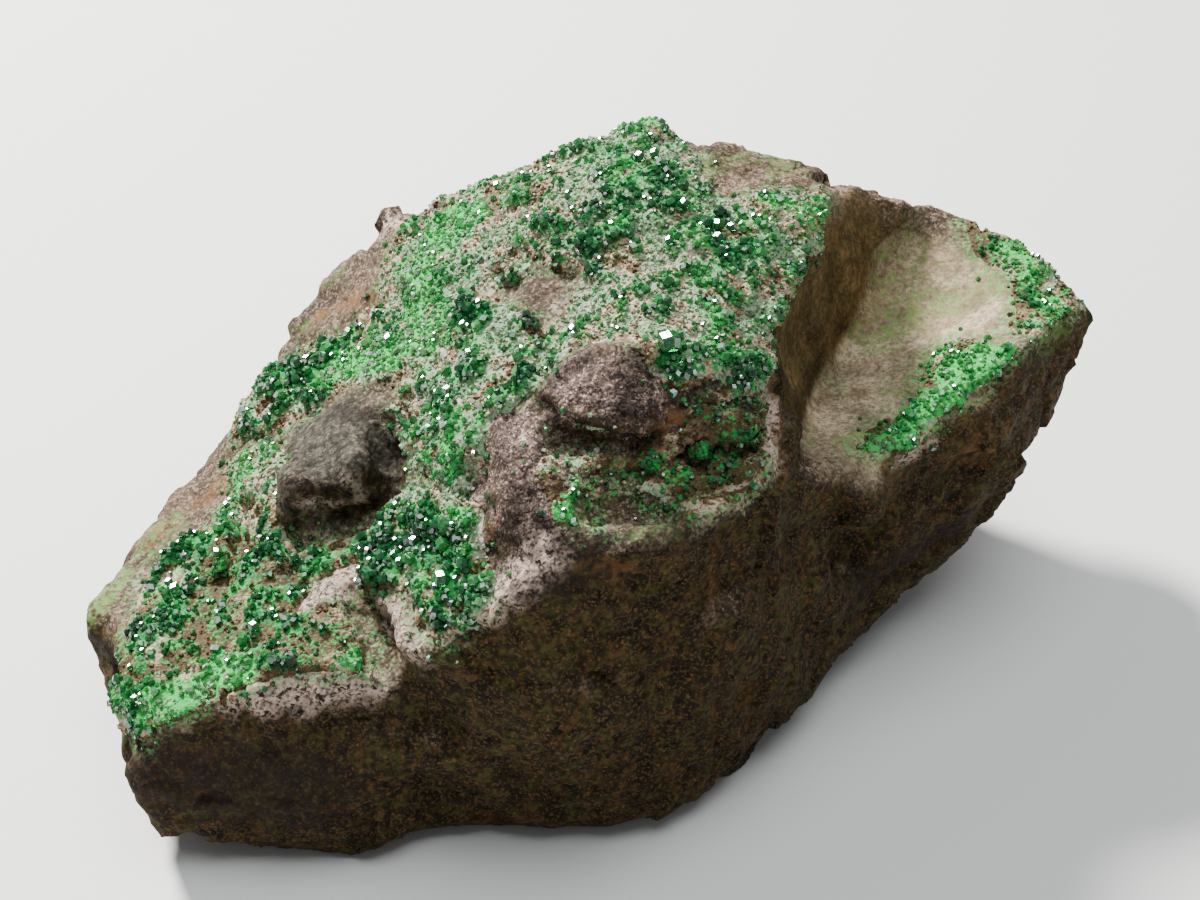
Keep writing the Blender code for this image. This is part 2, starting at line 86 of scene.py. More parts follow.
# How far crystals stray from their crust, and the cells that they are looked up in, in millimetres
STRAY = 2.4
SITE = 2.0

# Marks on the rock: start, end, reach and strength of a stroke, in millimetres
PALE_MARKS = (
    ((-22.5, -21.5, 14.0), (-14.0, -21.2, 14.6), 1.7, 1.0),
    ((-17.8, -13.8, 15.9), (-15.3, -13.0, 16.6), 1.7, 0.9),
    ((-18.8, -15.3, 15.3), (-18.0, -14.8, 15.5), 1.1, 0.9),
    ((-13.6, -17.5, 17.0), (-11.5, -20.8, 17.8), 1.8, 0.8),
    ((-6.8, -21.2, 21.2), (-3.0, -20.6, 24.2), 1.5, 1.2),
    ((-8.6, -15.0, 24.0), (-7.5, -18.5, 21.5), 1.0, 0.8),
    ((10.4, -7.5, 29.3), (11.0, -12.8, 25.3), 0.8, 1.1),
    ((-13.0, 15.6, 27.5), (0.0, 15.6, 31.5), 1.0, 0.9),
    ((0.0, 15.6, 31.5), (4.5, 16.0, 34.5), 0.8, 0.8),
    ((-15.9, 16.0, 24.6), (-14.8, 15.8, 24.6), 1.3, 1.1),
    ((20.0, -5.8, 20.4), (21.5, -4.8, 20.6), 0.9, 1.0),
    ((10.1, -14.0, 25.0), (5.4, -18.1, 24.0), 0.6, 0.8),
    ((-14.2, 15.6, 24.9), (-11.0, 14.6, 27.7), 0.7, 1.0),
    ((-30.3, -8.0, 11.6), (-28.0, -10.5, 12.2), 1.6, 0.6),
    # A painted highlight on the knob's crest
    ((1.2, -13.2, 29.6), (2.0, -13.6, 29.2), 0.6, 0.8),
    ((-2.9, -4.2, 29.4), (0.0, -1.2, 31.0), 1.3, 0.6),
    ((-23.6, 4.2, 16.4), (-23.2, 4.6, 16.6), 0.8, 0.8),
    ((-21.9, 2.3, 17.2), (-20.8, 2.6, 17.6), 0.9, 0.8),
)
IRON_MARKS = (
    ((10.4, -13.2, 25.4), (5.0, -17.8, 24.4), 0.9, 0.7),
    ((0.8, -15.8, 27.0), (4.2, -14.8, 26.8), 1.2, 1.0),
    ((4.6, -13.0, 28.2), (7.0, -13.4, 27.6), 1.4, 0.8),
    ((-0.6, -20.4, 24.0), (3.4, -21.0, 22.0), 1.0, 0.5),
    ((-24.6, -14.6, 13.4), (-23.8, -17.6, 13.6), 1.6, 0.7),
    ((-22.8, -13.0, 14.0), (-21.8, -10.6, 14.6), 1.4, 0.7),
    ((24.5, -4.3, 18.5), (27.0, -2.6, 18.6), 1.8, 0.7),
    ((-12.9, -22.6, 13.8), (-12.0, -23.0, 16.2), 1.2, 0.7),
    ((15.5, 3.5, 22.0), (19.5, 9.0, 23.5), 1.6, 0.4),
    ((10.9, -8.2, 28.4), (11.2, -13.0, 25.0), 1.2, 0.5),
)
STAIN_MARKS = (
    ((-34.2, -9.6, 10.4), (-33.0, -6.6, 10.8), 1.7, 1.2),
    ((-31.6, -14.4, 10.6), (-31.2, -13.6, 10.8), 1.4, 0.8),
    ((-31.6, -6.0, 11.4), (-29.8, -2.6, 12.0), 1.6, 0.6),
    ((19.4, 5.4, 22.0), (21.6, 6.8, 22.4), 1.5, 0.8),
    ((23.0, 8.4, 22.9), (25.2, 7.6, 23.4), 1.3, 0.7),
    ((16.6, -5.6, 21.2), (18.6, -4.4, 21.4), 1.0, 0.7),
    ((24.0, 3.2, 23.0), (25.0, 1.8, 23.0), 1.2, 0.7),
    ((2.4, -19.2, 24.9), (4.4, -18.6, 24.6), 0.7, 0.7),
    ((-1.4, -17.8, 26.0), (0.2, -15.6, 26.8), 1.4, 0.8),
    ((12.0, 13.6, 31.6), (13.0, 12.6, 31.6), 1.6, 0.6),
    ((28.4, 8.6, 24.4), (30.6, 3.0, 24.6), 2.2, 0.5),
)
SCOOP_MARKS = (
    ((16.5, -3.5, 20.8), (22.0, 9.5, 23.2), 5.2, 1.6),
    ((22.0, 0.5, 21.5), (28.0, 8.0, 24.4), 4.6, 1.6),
    ((13.6, -1.5, 26.0), (19.5, 9.0, 27.5), 4.6, 1.4),
)
# The scoop's steep wall, which takes umber: partly its own brown and partly painted shade
WALL_MARKS = (
    ((20.6, 13.6, 28.4), (17.0, 8.0, 26.6), 2.6, 1.5),
    ((17.0, 8.0, 26.6), (13.8, 2.0, 25.4), 2.5, 1.5),
    ((13.8, 2.0, 25.4), (11.8, -3.6, 26.6), 2.2, 1.5),
    ((11.8, -3.6, 26.6), (11.6, -7.6, 26.0), 1.4, 1.3),
)
CHROMITE_MARKS = (
    ((-20.2, -2.0, 19.4), (-15.4, -6.6, 21.0), 3.6, 1.6),
    ((-19.4, -7.6, 18.0), (-16.6, -8.8, 18.4), 2.2, 1.4),
)
MOUND_MARKS = (
    ((-0.4, -12.6, 30.0), (3.0, -12.8, 29.6), 3.0, 1.6),
    ((-5.8, -13.6, 27.6), (-6.4, -18.4, 23.4), 3.0, 1.6),
    ((-3.2, -15.8, 27.4), (-3.6, -19.0, 25.4), 2.6, 1.4),
)

# Swellings and dents (below zero) of the rock: start, end, reach and height
SCULPT_MARKS = (
    ((-14.2, -5.2, 20.9), (-12.9, -7.2, 20.0), 0.9, -1.1),
    ((-12.9, -7.2, 20.0), (-13.6, -8.3, 18.2), 0.9, -1.2),
    ((-13.6, -8.3, 18.2), (-16.4, -9.2, 17.2), 0.7, -0.8),
    ((-15.4, -7.0, 20.0), (-14.8, -7.6, 19.0), 1.3, 0.7),
    ((-20.4, -7.2, 19.4), (-16.8, -8.2, 19.4), 0.7, 0.35),
    ((0.2, -11.6, 30.6), (2.0, -12.0, 30.2), 3.0, 0.8),
    ((-2.2, -14.0, 28.1), (3.6, -13.9, 27.5), 0.9, -1.0),
    ((-2.9, -12.2, 29.0), (-2.2, -13.9, 28.1), 0.7, -0.7),
    ((1.0, -13.0, 30.3), (3.2, -13.8, 28.4), 0.5, 0.35),
    ((0.3, -17.6, 25.8), (4.3, -17.0, 25.0), 0.9, -1.0),
    ((6.3, -12.6, 27.5), (10.3, -10.6, 27.1), 0.7, 0.5),
    ((4.8, -13.8, 26.6), (9.4, -12.3, 26.2), 0.8, -0.6),
    ((0.9, -15.5, 26.7), (3.8, -15.2, 25.9), 0.7, -0.6),
    ((2.0, -19.4, 24.4), (4.8, -18.6, 24.2), 0.9, 0.4),
    ((5.4, -18.2, 23.9), (10.4, -14.0, 25.0), 0.8, 0.5),
    ((-15.6, -14.9, 16.4), (-13.6, -18.0, 15.8), 0.9, -0.8),
    ((-13.6, -18.0, 15.8), (-12.2, -21.6, 15.4), 1.1, -1.1),
    ((-12.2, -21.6, 15.4), (-9.9, -22.4, 11.6), 1.2, -0.8),
    ((16.4, -6.9, 21.3), (19.2, -4.2, 21.2), 0.45, -0.45),
    ((19.2, -4.2, 21.2), (21.3, -1.1, 21.9), 0.45, -0.5),
    ((21.3, -1.1, 21.9), (23.0, 3.1, 22.4), 0.45, -0.45),
    ((18.4, -6.4, 21.4), (22.4, -3.2, 21.8), 1.3, 0.4),
    ((22.4, -3.2, 21.8), (25.2, 1.6, 22.8), 1.3, 0.4),
    ((22.0, -5.0, 19.8), (26.6, -3.2, 19.8), 1.0, 0.6),
    ((21.0, -5.8, 17.4), (27.0, -3.8, 17.4), 1.6, -0.7),
    ((17.1, -8.6, 19.2), (17.8, -8.4, 18.8), 1.8, 0.6),
    ((17.0, -7.6, 14.6), (17.2, -7.0, 12.8), 2.2, -0.8),
    ((16.4, 12.4, 30.6), (16.8, 12.8, 30.4), 0.9, -0.6),
    ((10.6, -7.4, 29.6), (10.9, -12.8, 25.6), 0.5, 0.35),
    ((-32.2, -13.4, 8.6), (-33.6, -11.4, 8.4), 1.2, -0.8),
)

# Marks on the garnet crusts, in the same form as those on the rock
BARE_MARKS = (
    ((-16.9, -13.8, 16.0), (-15.6, -13.3, 16.6), 1.2, 1.0),
    ((-18.6, -15.0, 15.4), (-17.8, -14.8, 15.6), 0.8, 1.0),
    ((-26.3, -15.8, 13.6), (-25.6, -16.2, 13.8), 0.9, 0.9),
    ((-23.2, -14.4, 14.8), (-22.6, -15.0, 14.9), 0.7, 0.8),
    ((-22.0, -11.0, 15.3), (-21.4, -11.4, 15.4), 0.7, 0.8),
    ((-23.8, -19.3, 14.9), (-23.0, -18.8, 15.1), 0.6, 0.6),
    ((-20.4, -18.7, 15.6), (-19.4, -18.3, 15.8), 0.6, 0.7),
    ((-23.6, 4.2, 16.6), (-23.2, 4.6, 16.8), 0.9, 1.0),
    ((-21.9, 2.3, 17.4), (-20.8, 2.6, 17.8), 0.8, 1.0),
    ((-18.5, 1.2, 19.6), (-13.8, -1.8, 22.2), 1.5, 1.0),
    ((-9.8, 7.3, 28.3), (-9.2, 7.7, 28.5), 1.1, 1.0),
    ((-6.0, 1.8, 28.8), (-2.4, -2.2, 30.0), 1.3, 1.0),
    ((-6.0, -4.5, 29.7), (-3.6, -3.6, 29.4), 0.9, 0.9),
    ((3.0, -1.8, 33.0), (4.6, -2.0, 32.8), 0.9, 1.0),
    ((6.0, -4.1, 32.6), (6.8, -3.7, 32.6), 0.7, 0.8),
    ((0.4, -5.4, 31.7), (2.0, -7.0, 31.9), 0.8, 0.9),
    ((11.6, -1.0, 31.8), (12.0, -2.0, 31.4), 0.9, 0.8),
    ((10.6, -3.6, 31.4), (11.4, -5.4, 30.8), 0.7, 0.7),
    ((-1.4, 5.9, 33.4), (0.4, 8.2, 34.0), 0.6, 0.8),
    ((-4.6, 6.0, 31.2), (-3.4, 7.2, 32.0), 0.7, 0.6),
    ((-7.2, -8.8, 28.4), (-5.6, -8.6, 29.0), 0.6, 0.7),
    ((-14.4, 15.6, 24.8), (-9.7, 14.9, 28.2), 0.8, 1.0),
    ((-9.7, 14.9, 28.2), (-6.8, 14.8, 29.4), 0.5, 0.8),
)
BRIGHT_MARKS = (
    ((-10.4, 12.6, 28.0), (-8.0, 11.8, 29.0), 2.4, 1.0),
    ((-11.0, 10.4, 27.0), (-12.8, 5.2, 25.3), 2.2, 1.0),
    ((-12.8, 5.2, 25.3), (-11.2, 0.4, 26.0), 2.4, 0.9),
    ((-18.6, 4.4, 20.0), (-12.8, 1.2, 24.0), 1.9, 1.1),
    ((-27.4, -20.8, 12.4), (-22.8, -20.0, 14.2), 1.9, 1.1),
    ((-9.4, -11.8, 25.4), (-8.4, -9.4, 25.8), 1.0, 1.0),
    ((18.0, -6.4, 21.4), (24.0, -2.4, 23.4), 1.6, 0.8),
    ((24.0, -1.4, 23.9), (26.4, -0.6, 24.8), 2.0, 0.8),
    ((28.8, 11.0, 26.4), (31.2, 6.6, 26.0), 1.4, 0.8),
    ((31.2, 6.6, 26.0), (31.4, 3.4, 25.6), 1.6, 0.8),
    ((-15.4, -20.4, 14.6), (-14.6, -19.4, 14.8), 1.0, 0.8),
    ((2.0, 14.0, 34.5), (4.6, 14.5, 35.2), 1.6, 1.0),
    ((-25.4, -5.6, 13.4), (-24.2, 0.6, 14.8), 1.3, 0.7),
    ((-1.9, -18.4, 25.6), (-0.6, -16.6, 26.6), 0.9, 0.9),
    ((12.4, 6.0, 32.2), (14.4, 6.0, 31.8), 1.6, 0.6),
    ((7.4, -6.6, 32.0), (8.6, -7.8, 31.4), 1.2, 0.6),
    ((9.8, -9.8, 29.8), (10.2, -10.4, 28.8), 0.9, 0.7),
)
EARTHY_MARKS = (
    ((-29.0, -12.0, 12.6), (-18.0, -19.0, 15.6), 9.0, 1.7),
    ((4.0, -14.0, 27.0), (9.6, -13.0, 26.4), 3.4, 1.2),
    ((-1.0, -18.4, 25.4), (6.0, -16.8, 24.8), 2.6, 1.1),
    ((17.5, -6.6, 21.6), (26.5, 0.6, 22.6), 4.5, 0.7),
    ((27.6, 12.0, 25.6), (30.4, 2.0, 25.6), 4.5, 0.6),
    ((-22.0, 6.4, 17.0), (-16.0, 6.8, 21.6), 2.0, 0.7),
    ((-16.0, -15.0, 17.0), (-9.0, -19.0, 20.0), 3.0, 0.45),
)
DEEP_MARKS = (
    ((3.5, -10.6, 30.4), (9.8, -9.8, 29.6), 2.2, 0.15),
    ((-22.8, 3.4, 17.2), (-18.6, 5.4, 19.4), 2.2, 0.7),
    ((-5.6, -9.8, 28.6), (-3.0, -9.4, 29.4), 1.6, 1.0),
    ((-22.8, -10.2, 14.4), (-21.8, -8.6, 15.0), 1.2, 0.8),
    ((-0.5, 2.0, 31.6), (1.5, 6.0, 32.6), 2.0, 0.7),
    ((-8.8, -13.0, 24.8), (-9.4, -11.0, 25.4), 1.2, 0.8),
    ((-7.6, -1.2, 28.6), (-9.4, 1.4, 27.8), 1.4, 0.8),
    ((20.0, -4.8, 22.2), (21.4, -3.4, 22.8), 0.8, 0.8),
    ((28.6, 11.4, 26.4), (28.9, 11.2, 26.5), 0.7, 1.0),
)
FINE_MARKS = (
    ((17.5, -6.6, 21.6), (26.5, 0.6, 22.6), 4.5, 1.6),
    ((27.6, 12.0, 25.6), (30.4, 2.0, 25.6), 4.5, 1.6),
    ((-11.2, 8.8, 26.6), (-7.4, 14.2, 28.6), 3.2, 1.0),
    ((-14.6, 6.4, 24.0), (-11.4, 2.0, 25.0), 2.4, 0.9),
    ((-18.6, 4.6, 19.8), (-13.4, 0.6, 22.8), 1.8, 0.9),
    ((-27.4, -21.0, 12.4), (-22.6, -20.0, 14.2), 1.8, 1.0),
    ((-1.2, -16.0, 26.8), (-1.4, -19.4, 25.4), 2.4, 1.2),
    ((2.6, -16.6, 26.0), (9.0, -15.0, 25.6), 3.0, 1.2),
    ((12.0, 5.6, 32.4), (14.6, 6.0, 32.0), 2.4, 0.7),
    ((-29.0, -12.0, 12.6), (-18.0, -19.0, 15.6), 7.0, 0.45),
    ((-25.4, -6.0, 13.2), (-24.2, -1.4, 14.8), 1.6, 0.7),
)
COARSE_MARKS = (
    ((-18.0, -13.0, 17.4), (-10.4, -14.0, 20.6), 2.6, 1.0),
    ((-10.4, -14.0, 20.6), (-8.4, -19.4, 20.8), 2.4, 1.0),
    ((4.0, -10.4, 31.0), (10.0, -9.6, 29.4), 2.2, 0.45),
    ((2.5, 8.6, 34.8), (9.0, 0.0, 33.0), 2.4, 0.7),
    ((-9.0, -6.0, 26.6), (-8.4, -1.0, 27.8), 2.0, 0.7),
    ((-23.4, 4.6, 16.8), (-18.6, 5.2, 19.4), 2.2, 0.6),
    ((-26.0, -9.4, 13.6), (-21.6, -15.6, 15.2), 2.0, 0.4),
)

# Strokes on the photograph: two ends and half the width in pixels. Dark knots of crystals; those named shadow
# are painted shade, crystals darkened where shade falls
KNOTS = {
    "peak_knot": (597, 212, 614, 211, 9),
    "peak_left": (570, 196, 571, 214, 5),
    "spur_shadow": (603, 226, 605, 255, 6),
    "spur_left": (571, 238, 596, 232, 7),
    "lone_left": (541, 227, 554, 224, 8),
    "far_left": (526, 192, 534, 190, 6),
    "below_peak": (605, 182, 613, 183, 7),
    "below_peak_right": (627, 184, 635, 186, 5),
    "peak_right": (650, 203, 651, 207, 7),
    "peak_edge": (667, 160, 677, 164, 7),
    "peak_edge_low": (684, 183, 697, 184, 7),
    "ridge_left": (594, 270, 606, 286, 9),
    "ridge_mid": (632, 254, 638, 245, 9),
    "ridge_right": (655, 278, 673, 277, 7),
    "upper_pair": (668, 257, 688, 248, 7),
    "lens": (678, 266, 691, 272, 9),
    "row_left": (586, 285, 590, 291, 6),
    "row_mid": (621, 284, 630, 290, 7),
    "row_right": (643, 291, 665, 293, 6),
    "heart": (645, 307, 652, 308, 10),
    "low_left": (531, 322, 540, 324, 8),
    "low_left_tail": (560, 320, 577, 316, 5),
    "low_chain": (655, 322, 684, 319, 6),
    "low_knot": (699, 303, 706, 303, 8),
    "right_twin": (722, 312, 728, 322, 8),
    "right_chain": (750, 303, 766, 318, 9),
    "right_upper": (746, 274, 735, 282, 7),
    "right_mid": (748, 236, 756, 245, 7),
    "right_edge": (784, 264, 791, 270, 7),
    "right_olive": (782, 221, 794, 227, 7),
    "right_top": (780, 209, 776, 218, 5),
    "centre_right": (727, 232, 735, 229, 5),
    "top_right": (734, 214, 741, 217, 6),
    "brow_left": (668, 366, 684, 372, 8),
    "brow_mid": (702, 350, 712, 360, 7),
    "brow_right": (738, 380, 750, 366, 7),
    "brow_low": (664, 390, 674, 396, 5),
    "tail": (530, 357, 544, 346, 8),
    "foot": (532, 386, 556, 380, 9),
    "left_bank": (454, 304, 488, 308, 11),
    "left_bank_top": (452, 288, 463, 286, 7),
    "streak_edge": (500, 283, 528, 273, 5),
    "streak_edge_far": (533, 271, 566, 263, 4),
    "band_left": (345, 356, 368, 351, 7),
    "band_right": (375, 352, 386, 346, 6),
    "far_edge": (285, 372, 330, 384, 7),
    "corner": (252, 398, 256, 412, 7),
    "corner_low": (250, 424, 258, 428, 7),
    "left_mass": (275, 402, 290, 410, 8),
    "left_mass_right": (300, 403, 326, 399, 9),
    "step_shadow": (404, 386, 420, 379, 6),
    "step_low": (399, 416, 410, 414, 6),
    "slope_knot": (468, 364, 486, 374, 10),
    "slope_left": (432, 388, 446, 402, 9),
    "slope_foot": (438, 420, 455, 424, 8),
    "centre_row": (420, 533, 456, 532, 7),
    "centre_dark": (370, 578, 384, 583, 10),
    "centre_mid": (408, 555, 426, 560, 8),
    "centre_left": (345, 547, 372, 549, 8),
    "centre_right_low": (472, 588, 488, 592, 9),
    "centre_foot": (432, 627, 454, 622, 7),
    "centre_far": (455, 530, 476, 524, 6),
    "lobe_top": (162, 560, 190, 550, 9),
    "lobe_top_right": (225, 528, 236, 534, 8),
    "lobe_shoulder": (248, 517, 264, 514, 6),
    "lobe_tip": (147, 577, 164, 590, 8),
    "lobe_left": (134, 636, 165, 630, 8),
    "lobe_left_low": (148, 650, 154, 666, 7),
    "lobe_low": (168, 672, 188, 688, 10),
    "lobe_mid": (222, 583, 236, 578, 8),
    "lobe_mid_low": (254, 600, 272, 613, 8),
    "lobe_bare_edge": (196, 620, 203, 637, 6),
    "lobe_centre": (206, 653, 228, 648, 8),
    "lobe_centre_low": (214, 668, 236, 662, 6),
    "lobe_right": (340, 643, 360, 655, 9),
    "lobe_right_top": (345, 622, 352, 634, 7),
    "lobe_east": (300, 620, 316, 618, 6),
    "lobe_east_low": (255, 660, 290, 668, 7),
    "hollow_left": (640, 443, 662, 446, 5),
    "ledge_top": (933, 352, 941, 356, 5),
    "ledge_right": (955, 373, 970, 368, 6),
    "ledge_mid": (928, 393, 942, 397, 6),
    "ledge_foot": (900, 421, 909, 423, 5),
    "rim_knot": (999, 239, 1006, 242, 5),
}

# Strokes where the crystals are bright green
LUSH = {
    "peak_glow": (645, 130, 658, 124, 7),
    "rim_glow": (452, 212, 478, 192, 14),
    "left_glow": (400, 268, 432, 300, 18),
    "left_glow_low": (400, 318, 440, 322, 10),
    "band_glow": (342, 376, 392, 364, 7),
    "slope_glow": (470, 338, 500, 334, 9),
    "slope_edge": (470, 434, 484, 426, 6),
    "knob_spot": (612, 330, 620, 328, 7),
    "row_glow": (583, 303, 590, 310, 6),
    "right_glow": (796, 228, 803, 236, 6),
    "right_haze": (800, 208, 822, 205, 9),
    "right_low": (700, 325, 710, 328, 8),
    "right_low_far": (735, 335, 750, 332, 7),
    "brow_glow": (738, 356, 750, 352, 7),
    "saddle_glow": (762, 208, 772, 203, 7),
    "corner_glow": (150, 700, 196, 696, 9),
    "corner_far": (196, 690, 234, 681, 8),
    "step_spot": (445, 479, 456, 477, 7),
    "centre_glow": (334, 549, 340, 560, 6),
    "centre_glow_far": (460, 512, 480, 518, 7),
    "lobe_glow": (283, 651, 300, 652, 7),
    "lobe_glow_far": (310, 632, 320, 634, 6),
    "lobe_side": (285, 585, 305, 565, 8),
}

# Strokes where the crusts are bare
GAPS = {
    "cream_band": (612, 252, 634, 232, 5),
    "pink_patch": (640, 262, 662, 260, 8),
    "spur_bare": (575, 216, 592, 222, 7),
    "spur_ridge": (588, 196, 602, 184, 4),
    "left_ridge": (563, 192, 580, 171, 5),
    "left_ridge_low": (541, 213, 556, 207, 5),
    "white_column": (492, 190, 498, 222, 9),
    "ledge_cream": (500, 258, 520, 258, 4),
    "ledge_left": (474, 271, 497, 262, 5),
    "ledge_foot": (478, 288, 486, 298, 5),
    "streak": (502, 296, 560, 281, 10),
    "streak_right": (560, 280, 588, 267, 7),
    "streak_low": (500, 318, 524, 326, 10),
    "streak_arc": (535, 297, 566, 303, 5),
    "mauve_patch": (438, 254, 470, 238, 12),
    "mid_brown": (604, 298, 614, 310, 9),
    "brow_earth": (690, 392, 722, 384, 8),
    "mid_pink": (628, 300, 640, 296, 6),
    "tail_pink": (521, 345, 533, 331, 5),
    "right_cream": (697, 273, 705, 286, 5),
    "right_band": (703, 298, 716, 300, 4),
    "right_row": (745, 298, 765, 297, 4),
    "upper_band": (742, 231, 766, 236, 6),
    "upper_band_right": (768, 238, 788, 241, 5),
    "edge_tan": (775, 268, 778, 292, 8),
    "edge_pink": (784, 302, 785, 320, 5),
    "rim_pink": (762, 337, 778, 328, 5),
    "low_cream": (680, 333, 702, 326, 6),
    "low_cream_left": (648, 338, 664, 326, 7),
    "peak_pink": (636, 214, 648, 210, 6),
    "peak_top": (657, 141, 668, 138, 6),
    "peak_slope": (662, 136, 690, 170, 8),
    "brown_strip": (340, 394, 372, 388, 7),
    "brown_strip_far": (372, 388, 423, 360, 8),
    "tan_field": (335, 412, 400, 422, 14),
    "pebble": (271, 420, 276, 412, 5),
    "pebbles": (290, 416, 308, 416, 6),
    "far_bank": (302, 358, 316, 357, 6),
    "brown_hollow": (332, 306, 384, 296, 13),
    "slope_tan": (425, 330, 436, 324, 7),
    "centre_gap": (337, 574, 356, 582, 9),
    "saddle_gap": (300, 600, 322, 608, 8),
    "lobe_pink": (224, 562, 242, 570, 7),
    "lobe_brown": (180, 625, 198, 645, 14),
    "lobe_brown_low": (166, 650, 180, 660, 8),
    "lobe_tan": (225, 604, 236, 624, 8),
    "lobe_grey": (248, 578, 284, 578, 9),
    "lobe_olive": (172, 592, 205, 588, 8),
    "hollow_band": (690, 426, 748, 412, 7),
    "hollow_mid": (655, 462, 690, 452, 6),
    "hollow_low": (650, 495, 690, 492, 7),
    "hollow_far": (745, 474, 768, 440, 7),
    "hollow_centre": (690, 494, 744, 484, 6),
    "hollow_upper": (655, 432, 690, 422, 6),
    "hollow_wedge": (705, 452, 728, 446, 4),
    "ledge_tan": (914, 403, 924, 398, 5),
    "ledge_tan_top": (947, 358, 956, 352, 4),
    "ledge_olive": (888, 436, 898, 430, 5),
}

# Strokes of painted shade in the rock's deepest crevices and under its overhangs
CREVICE_SHADOWS = {
    "block_crack": (384, 452, 402, 474, 8),
    "block_crack_low": (400, 474, 403, 492, 7),
    "block_notch": (362, 460, 380, 461, 7),
    "block_foot": (394, 492, 360, 511, 6),
    "block_toe": (344, 514, 354, 517, 6),
    "knob_under": (560, 428, 590, 420, 9),
    "knob_under_right": (625, 405, 650, 414, 10),
    "knob_foot": (590, 428, 650, 432, 10),
    "hollow_back": (660, 392, 720, 392, 14),
    "hollow_side": (742, 400, 755, 405, 9),
    "gully_top": (358, 612, 372, 636, 5),
    "gully": (378, 648, 396, 690, 8),
    "tip_hole": (92, 646, 112, 668, 11),
}

# Strokes where the rock is dark over a wider patch: painted shade on the faces turned from the light and
# under the nub, and darker brown rock under the hollow and behind the block
SHADE_AND_DARK_PATCHES = {
    "front_left_face": (160, 775, 300, 790, 46),
    "right_face": (860, 590, 950, 525, 24),
    "under_hollow": (570, 545, 690, 530, 13),
    "under_hollow_left": (520, 590, 600, 572, 11),
    "beside_hollow": (690, 530, 752, 508, 6),
    "behind_block": (330, 420, 395, 412, 10),
    "under_nub": (380, 233, 396, 236, 5),
}

# Strokes of thin green film on the rock
FILMS = {
    "flank_film": (332, 284, 350, 270, 8),
    "flank_film_low": (292, 338, 312, 324, 8),
    "saddle_film": (705, 168, 735, 158, 10),
    "saddle_film_right": (770, 178, 790, 170, 7),
}

# Strokes along pale edges of the rock; the one on the knob's crest is a painted highlight
PALE_EDGES_AND_HIGHLIGHT = {
    "nub": (386, 218, 392, 219, 6),
    "block_front": (300, 502, 338, 506, 6),
    "hollow_rim_top": (768, 352, 770, 380, 5),
    "hollow_rim": (762, 412, 766, 440, 6),
    "hollow_lip": (758, 388, 745, 397, 4),
    "hollow_foot": (735, 492, 754, 486, 7),
    "hollow_foot_low": (700, 514, 744, 506, 6),
    "knob_crest": (606, 399, 618, 395, 4),
    "knob_side": (620, 358, 645, 368, 7),
    "block_facet": (349, 478, 362, 504, 7),
    "slope_white": (465, 465, 470, 478, 6),
    "slope_pink": (460, 490, 475, 505, 7),
    "mound_low": (395, 615, 424, 632, 11),
}

# Strokes of rusty colour on the rock
RUSTY = {
    "knob_red": (642, 384, 662, 390, 7),
    "knob_under_red": (570, 424, 582, 416, 5),
    "hollow_orange": (700, 430, 735, 418, 7),
    "hollow_orange_low": (705, 440, 720, 436, 6),
    "hollow_end": (757, 452, 760, 470, 6),
    "hollow_corner": (735, 484, 755, 478, 6),
    "block_toe_rust": (330, 512, 344, 508, 6),
    "lobe_rust": (182, 628, 196, 640, 10),
    "flank_rust": (345, 304, 386, 292, 11),
    "flank_rust_low": (318, 318, 338, 308, 7),
    "left_band": (200, 500, 222, 486, 10),
    "left_band_low": (150, 540, 168, 522, 8),
}

# Large crystals with a face that mirrors the main light: place and width in millimetres
MIRROR_CRYSTALS = {
    "druse_summit": (
        ((4.3, -9.9, 31.6), 1.75),
        ((2.9, 8.4, 34.8), 0.95),
        ((4.2, 8.7, 34.6), 0.9),
        ((5.8, 3.9, 33.6), 0.95),
        ((8.0, 1.5, 33.4), 1.0),
        ((8.8, 1.8, 33.1), 0.8),
        ((8.1, 0.3, 33.2), 0.95),
        ((4.7, 0.1, 33.1), 0.8),
        ((-1.4, -6.3, 30.6), 0.9),
    ),
    "druse_upper_left": (
        ((-7.9, -5.3, 27.7), 0.8),
        ((-9.1, -6.6, 26.0), 0.9),
        ((-8.6, -1.7, 27.8), 0.75),
    ),
    "druse_centre": (
        ((-9.4, -18.3, 20.9), 1.35),
        ((-11.1, -14.6, 20.4), 0.9),
        ((-12.2, -15.4, 19.6), 0.75),
        ((-12.7, -10.9, 20.3), 0.6),
    ),
    "druse_front_left": (
        ((-25.1, -8.6, 14.3), 0.9),
        ((-21.7, -16.2, 15.3), 0.9),
        ((-28.4, -9.5, 12.6), 0.8),
    ),
}

# How many small crystals of each druse also mirror the light
GLINTS = {
    "druse_summit": 26,
    "druse_upper_left": 16,
    "druse_centre": 9,
    "druse_front_left": 18,
    "druse_mound_foot": 2,
    "druse_right_ledge": 5,
    "druse_right_rim": 5,
}

# Each druse and the crust of the frame that it replaces
CRUSTS = {
    "druse_summit": "garnet_crust_summit",
    "druse_upper_left": "garnet_crust_upper_left",
    "druse_front_left": "garnet_crust_front_left",
    "druse_centre": "garnet_crust_centre",
    "druse_hollow": "garnet_crust_hollow",
    "druse_mound_foot": "garnet_crust_mound_foot",
    "druse_right_ledge": "garnet_crust_right_ledge",
    "druse_right_rim": "garnet_crust_right_rim",
}


